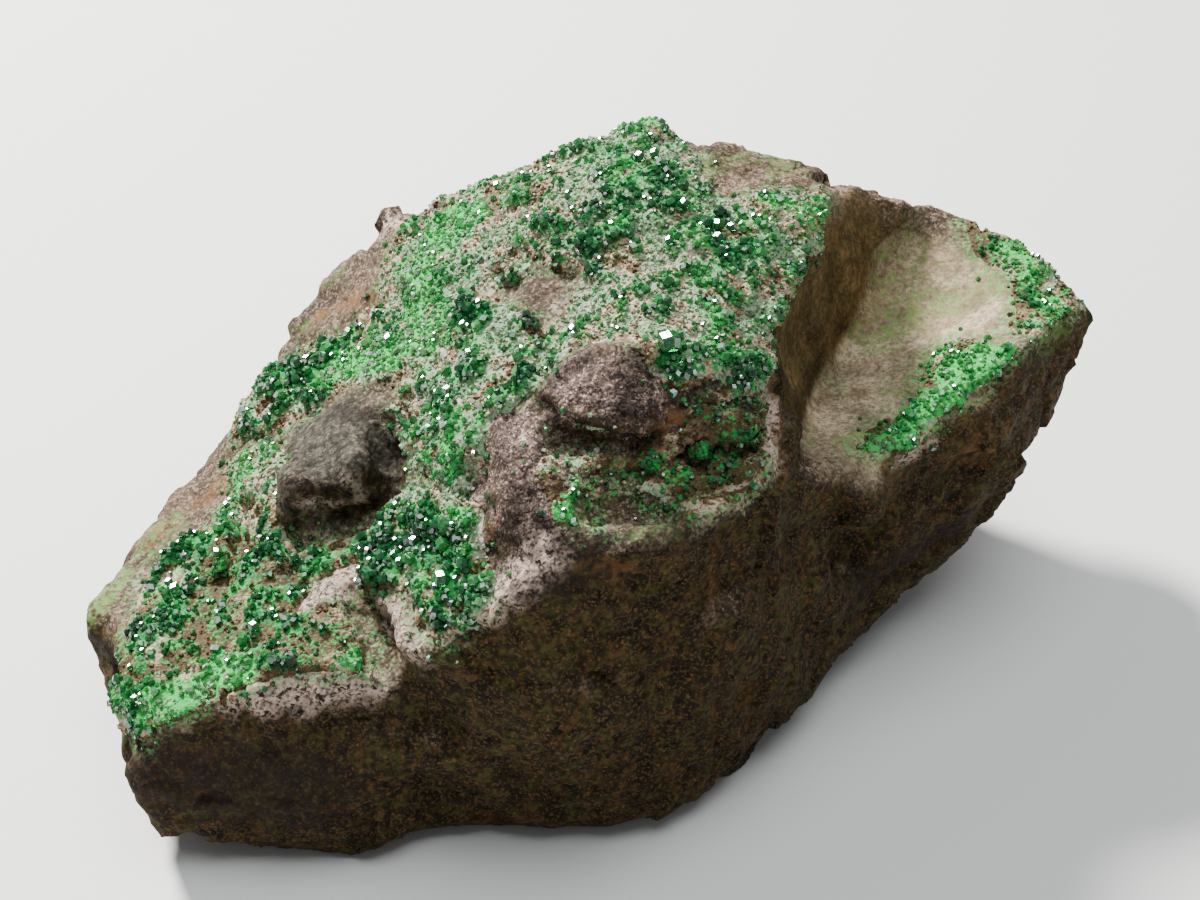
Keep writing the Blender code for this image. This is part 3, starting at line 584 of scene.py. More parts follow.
class RockSettings(bpy.types.PropertyGroup):
    """Sizes and colours of the chromite rock."""

    step: FloatProperty(
        name="Surface step",
        description="Side of the squares that the broken surface is sculpted from",
        default=0.00035,
        unit="LENGTH",
    )
    facet: FloatProperty(
        name="Facet",
        description="Width of the larger broken facets",
        default=0.0030,
        unit="LENGTH",
    )
    grain: FloatProperty(
        name="Grain",
        description="Width of one grain of the rock",
        default=0.00085,
        unit="LENGTH",
    )
    roughness: FloatProperty(
        name="Roughness",
        description="Roughness of the rock's surface",
        default=0.78,
        subtype="FACTOR",
    )
    # Made darker than the fracture is: on the steep faces this colour is partly painted shade
    brown: FloatVectorProperty(
        name="Fracture brown",
        description="Colour of the broken faces round the sides",
        default=(0.015, 0.0105, 0.0045),
        subtype="COLOR",
    )
    taupe: FloatVectorProperty(
        name="Taupe",
        description="Colour of the bare upper face",
        default=(0.086, 0.060, 0.038),
        subtype="COLOR",
    )
    purple: FloatVectorProperty(
        name="Mound brown",
        description="Colour of the darker grains of the bare mounds",
        default=(0.050, 0.033, 0.027),
        subtype="COLOR",
    )
    drab: FloatVectorProperty(
        name="Mound drab",
        description="Colour of the lighter grains of the bare mounds",
        default=(0.130, 0.092, 0.074),
        subtype="COLOR",
    )
    sand: FloatVectorProperty(
        name="Scoop floor",
        description="Colour of the smooth scooped fracture",
        default=(0.275, 0.215, 0.140),
        subtype="COLOR",
    )
    # On the scoop's wall and steep faces this colour is partly painted shade; it is also the colour of the
    # umber grains and of the scoop's mottling
    umber: FloatVectorProperty(
        name="Scoop wall",
        description="Colour of the scoop's steep wall",
        default=(0.090, 0.058, 0.023),
        subtype="COLOR",
    )
    grey: FloatVectorProperty(
        name="Chromite grey",
        description="Colour of the raised block of bare chromite",
        default=(0.032, 0.029, 0.021),
        subtype="COLOR",
    )
    pale: FloatVectorProperty(
        name="Pale coating",
        description="Colour of the pinkish white coating and of the pale grains",
        default=(0.50, 0.375, 0.31),
        subtype="COLOR",
    )
    # This colour is also used for the painted shade in crevices and on faces turned from the light
    dark: FloatVectorProperty(
        name="Dark grain",
        description="Colour of the dark chromite grains",
        default=(0.016, 0.011, 0.009),
        subtype="COLOR",
    )
    iron: FloatVectorProperty(
        name="Iron stain",
        description="Colour of the orange stains",
        default=(0.19, 0.085, 0.030),
        subtype="COLOR",
    )
    rust: FloatVectorProperty(
        name="Rusty brown",
        description="Colour of the reddish patches on the broken faces",
        default=(0.048, 0.026, 0.009),
        subtype="COLOR",
    )
    olive: FloatVectorProperty(
        name="Olive",
        description="Colour of the olive patches on the broken faces",
        default=(0.031, 0.029, 0.008),
        subtype="COLOR",
    )
    stain: FloatVectorProperty(
        name="Green stain",
        description="Colour of the thin green films on the rock",
        default=(0.13, 0.24, 0.060),
        subtype="COLOR",
    )


class GarnetSettings(bpy.types.PropertyGroup):
    """Sizes and colours of the garnet druses."""

    thickness: FloatProperty(
        name="Ground thickness",
        description="Height of the knobbly ground that the crystals grow from",
        default=0.0011,
        unit="LENGTH",
    )
    large: FloatProperty(
        name="Large crystal",
        description="Width of the largest crystals",
        default=0.00105,
        unit="LENGTH",
    )
    medium: FloatProperty(
        name="Crystal",
        description="Width of the common crystals",
        default=0.00056,
        unit="LENGTH",
    )
    small: FloatProperty(
        name="Small crystal",
        description="Width of the crystals that fill the gaps",
        default=0.00038,
        unit="LENGTH",
    )
    grain: FloatProperty(
        name="Grain",
        description="Width of the pale grains between the crystals",
        default=0.00030,
        unit="LENGTH",
    )
    roughness: FloatProperty(
        name="Roughness",
        description="Roughness of the crystal faces",
        default=0.09,
        subtype="FACTOR",
    )
    index: FloatProperty(
        name="Index of refraction",
        description="Refractive index of the garnet",
        default=1.86,
    )
    clearness: FloatProperty(
        name="Clearness",
        description="Share of the light that passes into the crystals",
        default=0.55,
        subtype="FACTOR",
    )
    deep: FloatVectorProperty(
        name="Deep green",
        description="Colour of the darkest crystals",
        default=(0.002, 0.042, 0.013),
        subtype="COLOR",
    )
    emerald: FloatVectorProperty(
        name="Emerald",
        description="Colour of the common crystals",
        default=(0.008, 0.160, 0.036),
        subtype="COLOR",
    )
    bright: FloatVectorProperty(
        name="Bright green",
        description="Colour of the bright crystals and of the green dust",
        default=(0.034, 0.36, 0.062),
        subtype="COLOR",
    )
    light: FloatVectorProperty(
        name="Light green",
        description="Colour of the lightest crystals",
        default=(0.060, 0.38, 0.085),
        subtype="COLOR",
    )
    haze: FloatVectorProperty(
        name="Haze",
        description="Colour of the small crystals dulled by dust",
        default=(0.16, 0.27, 0.13),
        subtype="COLOR",
    )
    veil: FloatVectorProperty(
        name="Grey-green veil",
        description="Colour of the fine grey-green grains between the crystals",
        default=(0.25, 0.31, 0.205),
        subtype="COLOR",
    )
    cream: FloatVectorProperty(
        name="Cream",
        description="Colour of the cream grains between the crystals",
        default=(0.42, 0.33, 0.215),
        subtype="COLOR",
    )
    earth: FloatVectorProperty(
        name="Earth",
        description="Colour of the darkest gaps in the crusts",
        default=(0.070, 0.048, 0.020),
        subtype="COLOR",
    )
    tan: FloatVectorProperty(
        name="Tan",
        description="Colour of the bare gaps in the crusts",
        default=(0.19, 0.125, 0.070),
        subtype="COLOR",
    )


class StageSettings(bpy.types.PropertyGroup):
    """The camera's view and the lights."""

    elevation: FloatProperty(
        name="Elevation",
        description="Angle of the camera above level",
        default=math.radians(38.0),
        subtype="ANGLE",
    )
    distance: FloatProperty(
        name="Distance",
        description="Distance from the camera to the specimen",
        default=0.140,
        unit="LENGTH",
    )
    lens: FloatProperty(
        name="Lens",
        description="Focal length on a sensor 36 mm wide",
        default=60.0,
        unit="CAMERA",
    )
    floor: FloatVectorProperty(
        name="Floor",
        description="Colour of the floor",
        default=(0.70, 0.70, 0.68),
        subtype="COLOR",
    )
    key: FloatProperty(
        name="Key light",
        description="Power of the main light, behind the specimen on the left",
        default=9.6,
        unit="POWER",
    )
    fill: FloatProperty(
        name="Fill",
        description="Strength of the even light from all round",
        default=0.28,
    )


class Wire:
    """A node's output that takes part in Python arithmetic."""

    def __init__(self, finish, socket):
        self.finish = finish
        self.socket = socket

    def __add__(self, other):
        return self.finish.maths("ADD", self, other)

    def __radd__(self, other):
        return self.finish.maths("ADD", other, self)

    def __sub__(self, other):
        return self.finish.maths("SUBTRACT", self, other)

    def __rsub__(self, other):
        return self.finish.maths("SUBTRACT", other, self)

    def __mul__(self, other):
        return self.finish.maths("MULTIPLY", self, other)

    def __rmul__(self, other):
        return self.finish.maths("MULTIPLY", other, self)


class Finish:
    """One material under construction."""

    def __init__(self, name):
        self.material = bpy.data.materials.new(name)
        self.material.use_nodes = True
        self.tree = self.material.node_tree
        self.shader = self.tree.nodes["Principled BSDF"]
        place = self.node("ShaderNodeTexCoord")
        scaled = self.node(
            "ShaderNodeVectorMath",
            {"operation": "SCALE"},
            {"Vector": self.out(place, "Object"), "Scale": 1.0 / MM},
        )
        self.place = self.out(scaled, "Vector")

    def node(self, kind, settings=None, inputs=None):
        made = self.tree.nodes.new(kind)
        for name, value in (settings or {}).items():
            if name == "stops":
                self.set_stops(made.color_ramp, value)
            else:
                setattr(made, name, value)
        for name, value in (inputs or {}).items():
            self.join(made.inputs[name], value)
        return made

    def set_stops(self, ramp, stops):
        while len(ramp.elements) < len(stops):
            ramp.elements.new(1.0)
        for element, (position, colour) in zip(ramp.elements, stops):
            element.position = position
            element.color = (*colour, 1.0)

    def join(self, socket, value):
        if isinstance(value, Wire):
            self.tree.links.new(value.socket, socket)
        elif hasattr(socket.default_value, "__len__") and len(socket.default_value) == 4:
            socket.default_value = (*value, 1.0)
        else:
            socket.default_value = value

    def out(self, node, name):
        return Wire(self, node.outputs[name])

    def maths(self, operation, a, b):
        made = self.node("ShaderNodeMath", {"operation": operation}, {0: a, 1: b})
        return self.out(made, "Value")

    def attribute(self, name):
        return self.out(self.node("ShaderNodeAttribute", {"attribute_name": name}), "Fac")

    def cloud(self, size, detail=2.0, vector=None):
        """Soft noise whose features are about this many millimetres wide."""
        inputs = {"Vector": vector or self.place, "Scale": 1.0 / size, "Detail": detail}
        return self.out(self.node("ShaderNodeTexNoise", None, inputs), "Fac")

    def cells(self, size, output="Distance", vector=None):
        """A pattern of cells about this many millimetres wide."""
        inputs = {"Vector": vector or self.place, "Scale": 1.0 / size}
        return self.out(self.node("ShaderNodeTexVoronoi", None, inputs), output)

    def between(self, value, low, high, start=0.0, end=1.0):
        """Rises smoothly from start to end as the value goes from low to high."""
        inputs = {"Value": value, "From Min": low, "From Max": high, "To Min": start, "To Max": end}
        made = self.node("ShaderNodeMapRange", {"interpolation_type": "SMOOTHSTEP"}, inputs)
        return self.out(made, "Result")

    def mix(self, factor, a, b):
        """Colour a where the factor is 0 and colour b where it is 1."""
        made = self.node("ShaderNodeMix", {"data_type": "RGBA"})
        self.join(made.inputs[0], factor)
        self.join(made.inputs[6], a)
        self.join(made.inputs[7], b)
        return Wire(self, made.outputs[2])

    def ramp(self, value, stops):
        made = self.node("ShaderNodeValToRGB", {"stops": stops}, {"Fac": value})
        return self.out(made, "Color")

    def first(self, colour):
        """The first channel of a cell's random colour, as a number from 0 to 1."""
        made = self.node("ShaderNodeSeparateColor", None, {"Color": colour})
        return self.out(made, "Red")

    def shifted(self, move):
        """The place moved sideways, so that two patterns of one size differ."""
        made = self.node("ShaderNodeVectorMath", {"operation": "ADD"}, {0: self.place, 1: move})
        return self.out(made, "Vector")

    def shade(self, colour, value, low, high, darkest, lightest):
        """Darkens or lightens a colour by a value between low and high."""
        grey = self.between(value, low, high, darkest, lightest)
        made = self.node("ShaderNodeVectorMath", {"operation": "SCALE"}, {"Vector": colour, "Scale": grey})
        return self.out(made, "Vector")

    def bump(self, height, depth):
        """Relief of this depth in millimetres."""
        inputs = {"Height": height, "Distance": depth * MM, "Strength": 1.0}
        return self.out(self.node("ShaderNodeBump", None, inputs), "Normal")

    def surface(self, **inputs):
        names = {
            "colour": "Base Color",
            "roughness": "Roughness",
            "normal": "Normal",
            "index": "IOR",
            "clearness": "Transmission Weight",
            "specular": "Specular IOR Level",
        }
        for name, value in inputs.items():
            self.join(self.shader.inputs[names[name]], value)
        return self.material


def smooth_rise(value, low, high):
    """Rises smoothly from 0 to 1 as the value goes from low to high."""
    share = np.clip((value - low) / (high - low), 0.0, 1.0)
    return share * share * (3.0 - 2.0 * share)


def places_of(mesh):
    """A mesh's vertices in millimetres."""
    flat = np.empty(len(mesh.vertices) * 3, np.float32)
    mesh.vertices.foreach_get("co", flat)
    return flat.reshape(-1, 3).astype(float) / MM


def normals_of(mesh):
    flat = np.empty(len(mesh.vertices) * 3, np.float32)
    mesh.vertex_normals.foreach_get("vector", flat)
    return flat.reshape(-1, 3).astype(float)


def triangles_of(mesh):
    """A mesh's faces as triangles of vertex numbers."""
    mesh.calc_loop_triangles()
    flat = np.empty(len(mesh.loop_triangles) * 3, np.int32)
    mesh.loop_triangles.foreach_get("vertices", flat)
    return flat.reshape(-1, 3)


def put_places(mesh, places):
    mesh.vertices.foreach_set("co", (places * MM).astype(np.float32).ravel())
    mesh.update()


def read_numbers(mesh, name):
    values = np.empty(len(mesh.vertices), np.float32)
    mesh.attributes[name].data.foreach_get("value", values)
    return values


def put_numbers(mesh, name, values):
    """Stores one number for each vertex under a name that a material reads."""
    made = mesh.attributes.new(name, "FLOAT", "POINT")
    made.data.foreach_set("value", np.asarray(values, np.float32))


def sampled(function, places, size):
    """A noise function's value at each place, with features about this many millimetres wide."""
    return np.array([function(Vector(place)) for place in places / size])


def facet_height(place):
    """Height on a tilted flat facet: one random tilt in each cell of a Voronoi pattern."""
    centre = noise.voronoi(place)[1][0]
    tilt = noise.cell_vector(centre * 7.3) * 2.0 - Vector((1.0, 1.0, 1.0))
    return tilt.dot(place - centre)


def grain_height(place):
    """Rounded grains with narrow gaps: high in the middle of each cell and low at its edges."""
    near, second = noise.voronoi(place)[0][:2]
    own = noise.noise(noise.voronoi(place)[1][0] * 5.1)
    return min(1.0, 2.2 * (second - near)) + 0.8 * own


def marked(places, marks, wobble):
    """How strongly a set of marks covers each place. The wobble breaks up the marks' edges."""
    found = np.zeros(len(places))
    for start, end, reach, strength in marks:
        start = np.array(start)
        run = np.array(end) - start
        share = np.clip((places - start) @ run / (run @ run), 0.0, 1.0)
        away = np.linalg.norm(places - start - share[:, None] * run, axis=1) / reach
        fading = smooth_rise(away + wobble, FADE_START, FADE_END)
        found = np.maximum(found, strength * (1.0 - fading))
    return np.minimum(found, 1.0)


def solid_tree(nodes):
    """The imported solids' faces in millimetres, for finding places on them."""
    corners = []
    faces = []
    for node in nodes:
        mesh = NODES[node].data
        first = len(corners)
        corners.extend(vert.co / MM for vert in mesh.vertices)
        faces.extend([first + corner for corner in face.vertices] for face in mesh.polygons)
    return BVHTree.FromPolygons(corners, faces)


def seen_marks(strokes, strength=1.0):
    """Strokes on the photograph as marks on the solids that the camera sees there."""
    stage = bpy.context.scene.garnet_stage
    back = camera_direction(stage)
    eye = (AIM + back * stage.distance) / MM
    across = Vector((1.0, 0.0, 0.0))
    upward = back.cross(across)
    focus = stage.lens / SENSOR * WIDE
    tree = solid_tree(NODES)

    def place(u, v):
        ray = across * (u - WIDE / 2) / focus + upward * (HIGH / 2 - v) / focus - back
        found = tree.ray_cast(eye, ray.normalized())[0]
        if found is None:
            raise ValueError(f"The camera sees no solid at pixel {u}, {v}")
        return tuple(found)

    return [
        (place(u, v), place(far_u, far_v), half * PIXEL / FADE_HALF, strength)
        for u, v, far_u, far_v, half in strokes.values()
    ]


def only(obj):
    """Selects one object and nothing else."""
    bpy.ops.object.select_all(action="DESELECT")
    obj.select_set(True)
    bpy.context.view_layer.objects.active = obj


def new_piece(name, mesh):
    made = bpy.data.objects.new(name, mesh)
    bpy.context.scene.collection.objects.link(made)
    return made


def solid_copy(node, name):
    """A copy of a CAD node as one joined skin, because the node's own triangles are loose."""
    made = new_piece(name, NODES[node].data.copy())
    made.data.name = name
    made.data.materials.clear()
    only(made)
    bpy.ops.object.mode_set(mode="EDIT")
    bpy.ops.mesh.select_all(action="SELECT")
    bpy.ops.mesh.remove_doubles(threshold=0.000001)
    bpy.ops.object.mode_set(mode="OBJECT")
    return made


def add_modifier(obj, kind, **settings):
    """Adds one modifier and applies it."""
    made = obj.modifiers.new(kind.lower(), kind)
    for name, value in settings.items():
        setattr(made, name, value)
    only(obj)
    bpy.ops.object.modifier_apply(modifier=made.name)


def finish_piece(piece, slot, *nodes):
    """The piece moves with the specimen and stands for its nodes; the slot is not used."""
    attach(piece, BODY)
    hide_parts(*nodes)


def rock_regions(places, normals):
    """How much each place belongs to each part of the rock's surface."""
    wobble = 0.45 * sampled(noise.noise, places, 1.1) + 0.25 * sampled(noise.noise, places + 40.0, 0.5)
    regions = {
        "pale": marked(places, (*PALE_MARKS, *seen_marks(PALE_EDGES_AND_HIGHLIGHT, 0.8)), wobble),
        "iron": marked(places, (*IRON_MARKS, *seen_marks(RUSTY, 0.9)), wobble),
        # The dark mark is painted shade in crevices, under overhangs and on faces turned from the light, with
        # some truly darker rock
        "dark": marked(places, (*seen_marks(CREVICE_SHADOWS), *seen_marks(SHADE_AND_DARK_PATCHES, 0.75)), wobble),
        "bare": marked(places, (*BARE_MARKS, *seen_marks(GAPS)), wobble),
        "stain": marked(places, (*STAIN_MARKS, *seen_marks(FILMS, 0.6)), wobble),
        "scoop": marked(places, SCOOP_MARKS, 0.3 * wobble),
        "wall": marked(places, WALL_MARKS, 0.1 * wobble),
        "chromite": marked(places, CHROMITE_MARKS, 0.5 * wobble),
        "mound": marked(places, MOUND_MARKS, 0.5 * wobble),
    }
    regions["side"] = 1.0 - smooth_rise(normals[:, 2] + 0.25 * wobble, 0.38, 0.64)
    # Darker towards the back of the scoop: painted shade, added to the scoop's mottling
    regions["far"] = smooth_rise(places[:, 1] + wobble, -1.0, 8.0)
    return regions


def broad_normals(mesh, rounds):
    """Normals averaged over their neighbours again and again, so that small facets don't count."""
    ends = np.empty(len(mesh.edges) * 2, np.int32)
    mesh.edges.foreach_get("vertices", ends)
    a, b = ends.reshape(-1, 2).T
    count = len(mesh.vertices)
    shares = 1.0 / (1.0 + np.bincount(a, minlength=count) + np.bincount(b, minlength=count))
    normals = normals_of(mesh)
    for _ in range(rounds):
        for axis in range(3):
            values = normals[:, axis]
            total = values + np.bincount(a, values[b], count) + np.bincount(b, values[a], count)
            normals[:, axis] = total * shares
    return normals / np.linalg.norm(normals, axis=1)[:, None]


def crust_nearness(places):
    """1 where a crust of the frame lies on the rock, falling to 0 at about 2.5 mm from it."""
    tree = solid_tree(CRUSTS.values())
    away = np.array([tree.find_nearest(Vector(place), 3.0)[3] or 3.0 for place in places])
    wobble = 0.7 * sampled(noise.noise, places, 0.9) + 0.4 * sampled(noise.noise, places + 60.0, 0.4)
    return 1.0 - smooth_rise(away + wobble, 0.8, 2.5)


def sculpt(rock):
    """Works the named swellings and dents into the rock."""
    places = places_of(rock.data)
    normals = normals_of(rock.data)
    wobble = 0.18 * sampled(noise.noise, places, 0.8)
    height = np.zeros(len(places))
    for start, end, reach, rise in SCULPT_MARKS:
        mark = marked(places, ((start, end, 1.35 * reach, 1.0),), wobble)
        height = np.where(np.abs(rise * mark) > np.abs(height), rise * mark, height)
    put_places(rock.data, places + normals * height[:, None])


def break_surface(rock, settings):
    """Works facets and grains into the evenly stepped rock, and rests it flat at height 0."""
    places = places_of(rock.data)
    normals = normals_of(rock.data)
    regions = rock_regions(places, normals)
    facet = settings.facet / MM
    grain = settings.grain / MM
    rough = (1.0 - 0.88 * regions["scoop"]) * (1.0 - 0.35 * regions["chromite"])
    grained = (0.6 + 0.4 * regions["mound"]) * (1.0 - 0.8 * regions["scoop"])
    height = 0.55 * rough * sampled(facet_height, places + 30.0, 2.2 * facet)
    height += 0.28 * rough * sampled(facet_height, places, facet)
    height += 0.14 * rough * sampled(facet_height, places + 90.0, 0.45 * facet)
    height += 0.07 * grained * sampled(grain_height, places, grain)
    height += 0.12 * rough * sampled(noise.noise, places, 0.9)
    height *= 0.2 + 0.8 * smooth_rise(places[:, 2], 0.3, 2.2)
    moved = places + normals * height[:, None]
    moved[:, 2] = np.maximum(moved[:, 2], 0.0)
    put_places(rock.data, moved)


def rock_finish(settings, garnet):
    """Granular chromite rock: dark brown where broken, taupe above, with grains, stains and crystal dust,
    painted shade on steep faces, in crevices and at the scoop's back, and a painted highlight on the knob.
    """
    made = Finish("granular_chromite_rock")
    side = made.attribute("side")
    scoop = made.attribute("scoop")
    mound = made.attribute("mound")
    block = made.attribute("chromite")
    grains = made.first(made.cells(0.22, "Color"))
    specks = made.first(made.cells(0.14, "Color"))
    broad = made.cloud(3.4, 3.0)
    fine = made.cloud(0.45, 4.0)
    shifted = made.shifted((31.0, 17.0, 5.0))
    wide = made.cloud(6.5, 3.0, shifted)
    mixed = 0.55 * grains + 0.45 * specks

    # Steep faces take the fracture brown, partly their own colour and partly painted shade for faces turned
    # from the light
    ground = made.mix(side, settings.taupe, settings.brown)
    salt = ((0.12, settings.dark), (0.36, settings.purple), (0.66, settings.drab), (0.96, settings.pale))
    salted = 0.4 * specks + 0.3 * made.first(made.cells(0.10, "Color")) + 0.3 * fine + 0.5 * (broad - 0.5)
    ground = made.mix(mound, ground, made.ramp(salted, salt))
    ground = made.mix(block * (1.0 - 0.4 * side), ground, made.shade(settings.grey, fine, 0.3, 0.7, 0.6, 1.8))
    # The scoop's wall and steep faces take umber, partly their own brown and partly painted shade
    wall = made.between(made.attribute("wall") + 0.25 * (fine - 0.5), 0.36, 0.60)
    scoop_with_wall_shade = made.mix(wall, settings.sand, settings.umber)
    ground = made.mix(scoop, ground, made.mix(side, scoop_with_wall_shade, settings.umber))
    ground = made.shade(ground, broad, 0.34, 0.68, 0.62, 1.35)
    ground = made.shade(ground, fine, 0.25, 0.75, 0.72, 1.28)
    ground = made.shade(ground, mixed, 0.1, 0.9, 0.66, 1.32)
    patchy = made.shade(ground, made.cloud(1.0, 5.0), 0.36, 0.64, 0.38, 1.7)
    ground = made.mix(side * (1.0 - 0.7 * scoop), ground, patchy)
    rusted = side * (1.0 - 0.7 * scoop) * (1.0 - 0.8 * block) * 0.62

    plain = (1.0 - 0.80 * scoop) * (1.0 - 0.70 * block) * (1.0 - mound)
    dark_grains = made.between(mixed + 0.4 * (fine - 0.5), 0.42, 0.26) * plain
    ground = made.mix(dark_grains * (0.45 + 0.30 * side), ground, settings.dark)
    pale_grains = made.between(mixed + 0.4 * (fine - 0.5), 0.62, 0.82) * plain
    ground = made.mix(pale_grains * (1.0 - 0.97 * side) * 0.28, ground, settings.pale)
    tan_grains = made.between(specks + 0.6 * (fine - 0.5), 0.62, 0.84) * plain * side
    ground = made.mix(tan_grains * 0.55, ground, settings.umber)

    rust = made.between(made.cloud(1.3, 6.0), 0.49, 0.62) * rusted
    ground = made.mix(rust, ground, made.shade(settings.rust, fine, 0.3, 0.7, 0.4, 1.9))
    olive = made.between(made.cloud(1.2, 6.0, shifted), 0.49, 0.62) * rusted
    ground = made.mix(olive, ground, made.shade(settings.olive, fine, 0.3, 0.7, 0.4, 1.9))
    sparks = made.between(made.first(made.cells(0.16, "Color", vector=shifted)), 0.955, 0.975) * side
    ground = made.mix(sparks * 0.40, ground, settings.iron)
    # Umber mottling of the scoop floor, darker towards the back as painted shade
    mottle_and_back_shade = made.between(made.cloud(2.6, 6.0, shifted) + 0.16 * made.attribute("far"), 0.50, 0.68)
    ground = made.mix(mottle_and_back_shade * scoop * (1.0 - side) * 0.48, ground, settings.umber)
    film = made.between(wide, 0.46, 0.62) * made.between(made.cloud(0.7, 4.0, shifted), 0.44, 0.62)
    ground = made.mix(film * scoop * (1.0 - side) * 0.42, ground, settings.stain)

    iron = made.attribute("iron") * made.between(made.cloud(0.9, 4.0), 0.34, 0.62)
    ground = made.mix(iron * 0.75, ground, settings.iron)
    stain = made.attribute("stain") * made.between(made.cloud(0.6, 4.0), 0.36, 0.62)
    ground = made.mix(stain * 0.85, ground, settings.stain)
    # Pale coating, with a painted highlight on the knob's crest
    pale = made.attribute("pale") * made.between(fine + 0.5 * (mixed - 0.5), 0.26, 0.58)
    ground = made.mix(pale * 0.85, ground, made.shade(settings.pale, mixed, 0.2, 0.8, 0.55, 1.1))
    # Painted shade: the dark marks take the colour of the dark grains
    shadow = made.attribute("dark") * (1.0 - 0.5 * made.between(fine, 0.45, 0.7))
    ground = made.mix(shadow, ground, settings.dark)

    dust = made.attribute("dust") * (1.0 - 0.75 * side)
    coat = made.mix(made.between(grains, 0.3, 0.8), garnet.tan, garnet.veil)
    ground = made.mix(dust * made.between(fine + 0.25 * (specks - 0.5), 0.36, 0.62) * 0.45, ground, coat)
    green = made.mix(made.between(grains, 0.2, 0.8), garnet.emerald, garnet.bright)
    ground = made.mix(dust * made.between(specks, 0.66, 0.76) * 0.85, ground, green)
    height = made.cells(0.30) * -0.5 + made.cells(0.18) * -0.3 + made.cloud(0.5, 3.0) * 0.6
    relief = made.bump(height * (1.0 - 0.70 * scoop) * (1.0 - 0.40 * side), 0.07)
    return made.surface(
        colour=ground,
        roughness=made.between(grains, 0.0, 1.0, settings.roughness - 0.06, settings.roughness + 0.14),
        normal=relief,
        specular=0.10,
    )


def garnet_model(name, bevel):
    """One garnet crystal modelled once: a cube raised to a rhombic dodecahedron one unit wide."""
    bpy.ops.object.select_all(action="DESELECT")
    bpy.ops.mesh.primitive_cube_add(size=CUBE)
    made = bpy.context.object
    made.name = name
    bpy.ops.object.mode_set(mode="EDIT")
    bpy.ops.mesh.select_all(action="SELECT")
    bpy.ops.mesh.poke(offset=CUBE / 2.0)
    bpy.ops.mesh.tris_convert_to_quads()
    if bevel:
        bpy.ops.mesh.bevel(offset=bevel, affect="EDGES", segments=1)
    bpy.ops.mesh.normals_make_consistent(inside=False)
    bpy.ops.object.mode_set(mode="OBJECT")
    places = places_of(made.data) * MM
    faces = [tuple(face.vertices) for face in made.data.polygons]
    bpy.data.objects.remove(made)
    return places, faces


def grain_model(name):
    """One tiny grain modelled once: an octahedron one unit wide."""
    bpy.ops.object.select_all(action="DESELECT")
    bpy.ops.mesh.primitive_uv_sphere_add(segments=4, ring_count=2, radius=0.5)
    made = bpy.context.object
    made.name = name
    places = places_of(made.data) * MM
    faces = [tuple(face.vertices) for face in made.data.polygons]
    bpy.data.objects.remove(made)
    return places, faces


def random_turns(draw, count):
    """Evenly spread random rotations as matrices."""
    quarter = draw.normal(size=(count, 4))
    quarter /= np.linalg.norm(quarter, axis=1)[:, None]
    w, x, y, z = quarter.T
    return np.stack(
        [
            np.stack([1 - 2 * (y * y + z * z), 2 * (x * y - z * w), 2 * (x * z + y * w)], 1),
            np.stack([2 * (x * y + z * w), 1 - 2 * (x * x + z * z), 2 * (y * z - x * w)], 1),
            np.stack([2 * (x * z - y * w), 2 * (y * z + x * w), 1 - 2 * (x * x + y * y)], 1),
        ],
        1,
    )


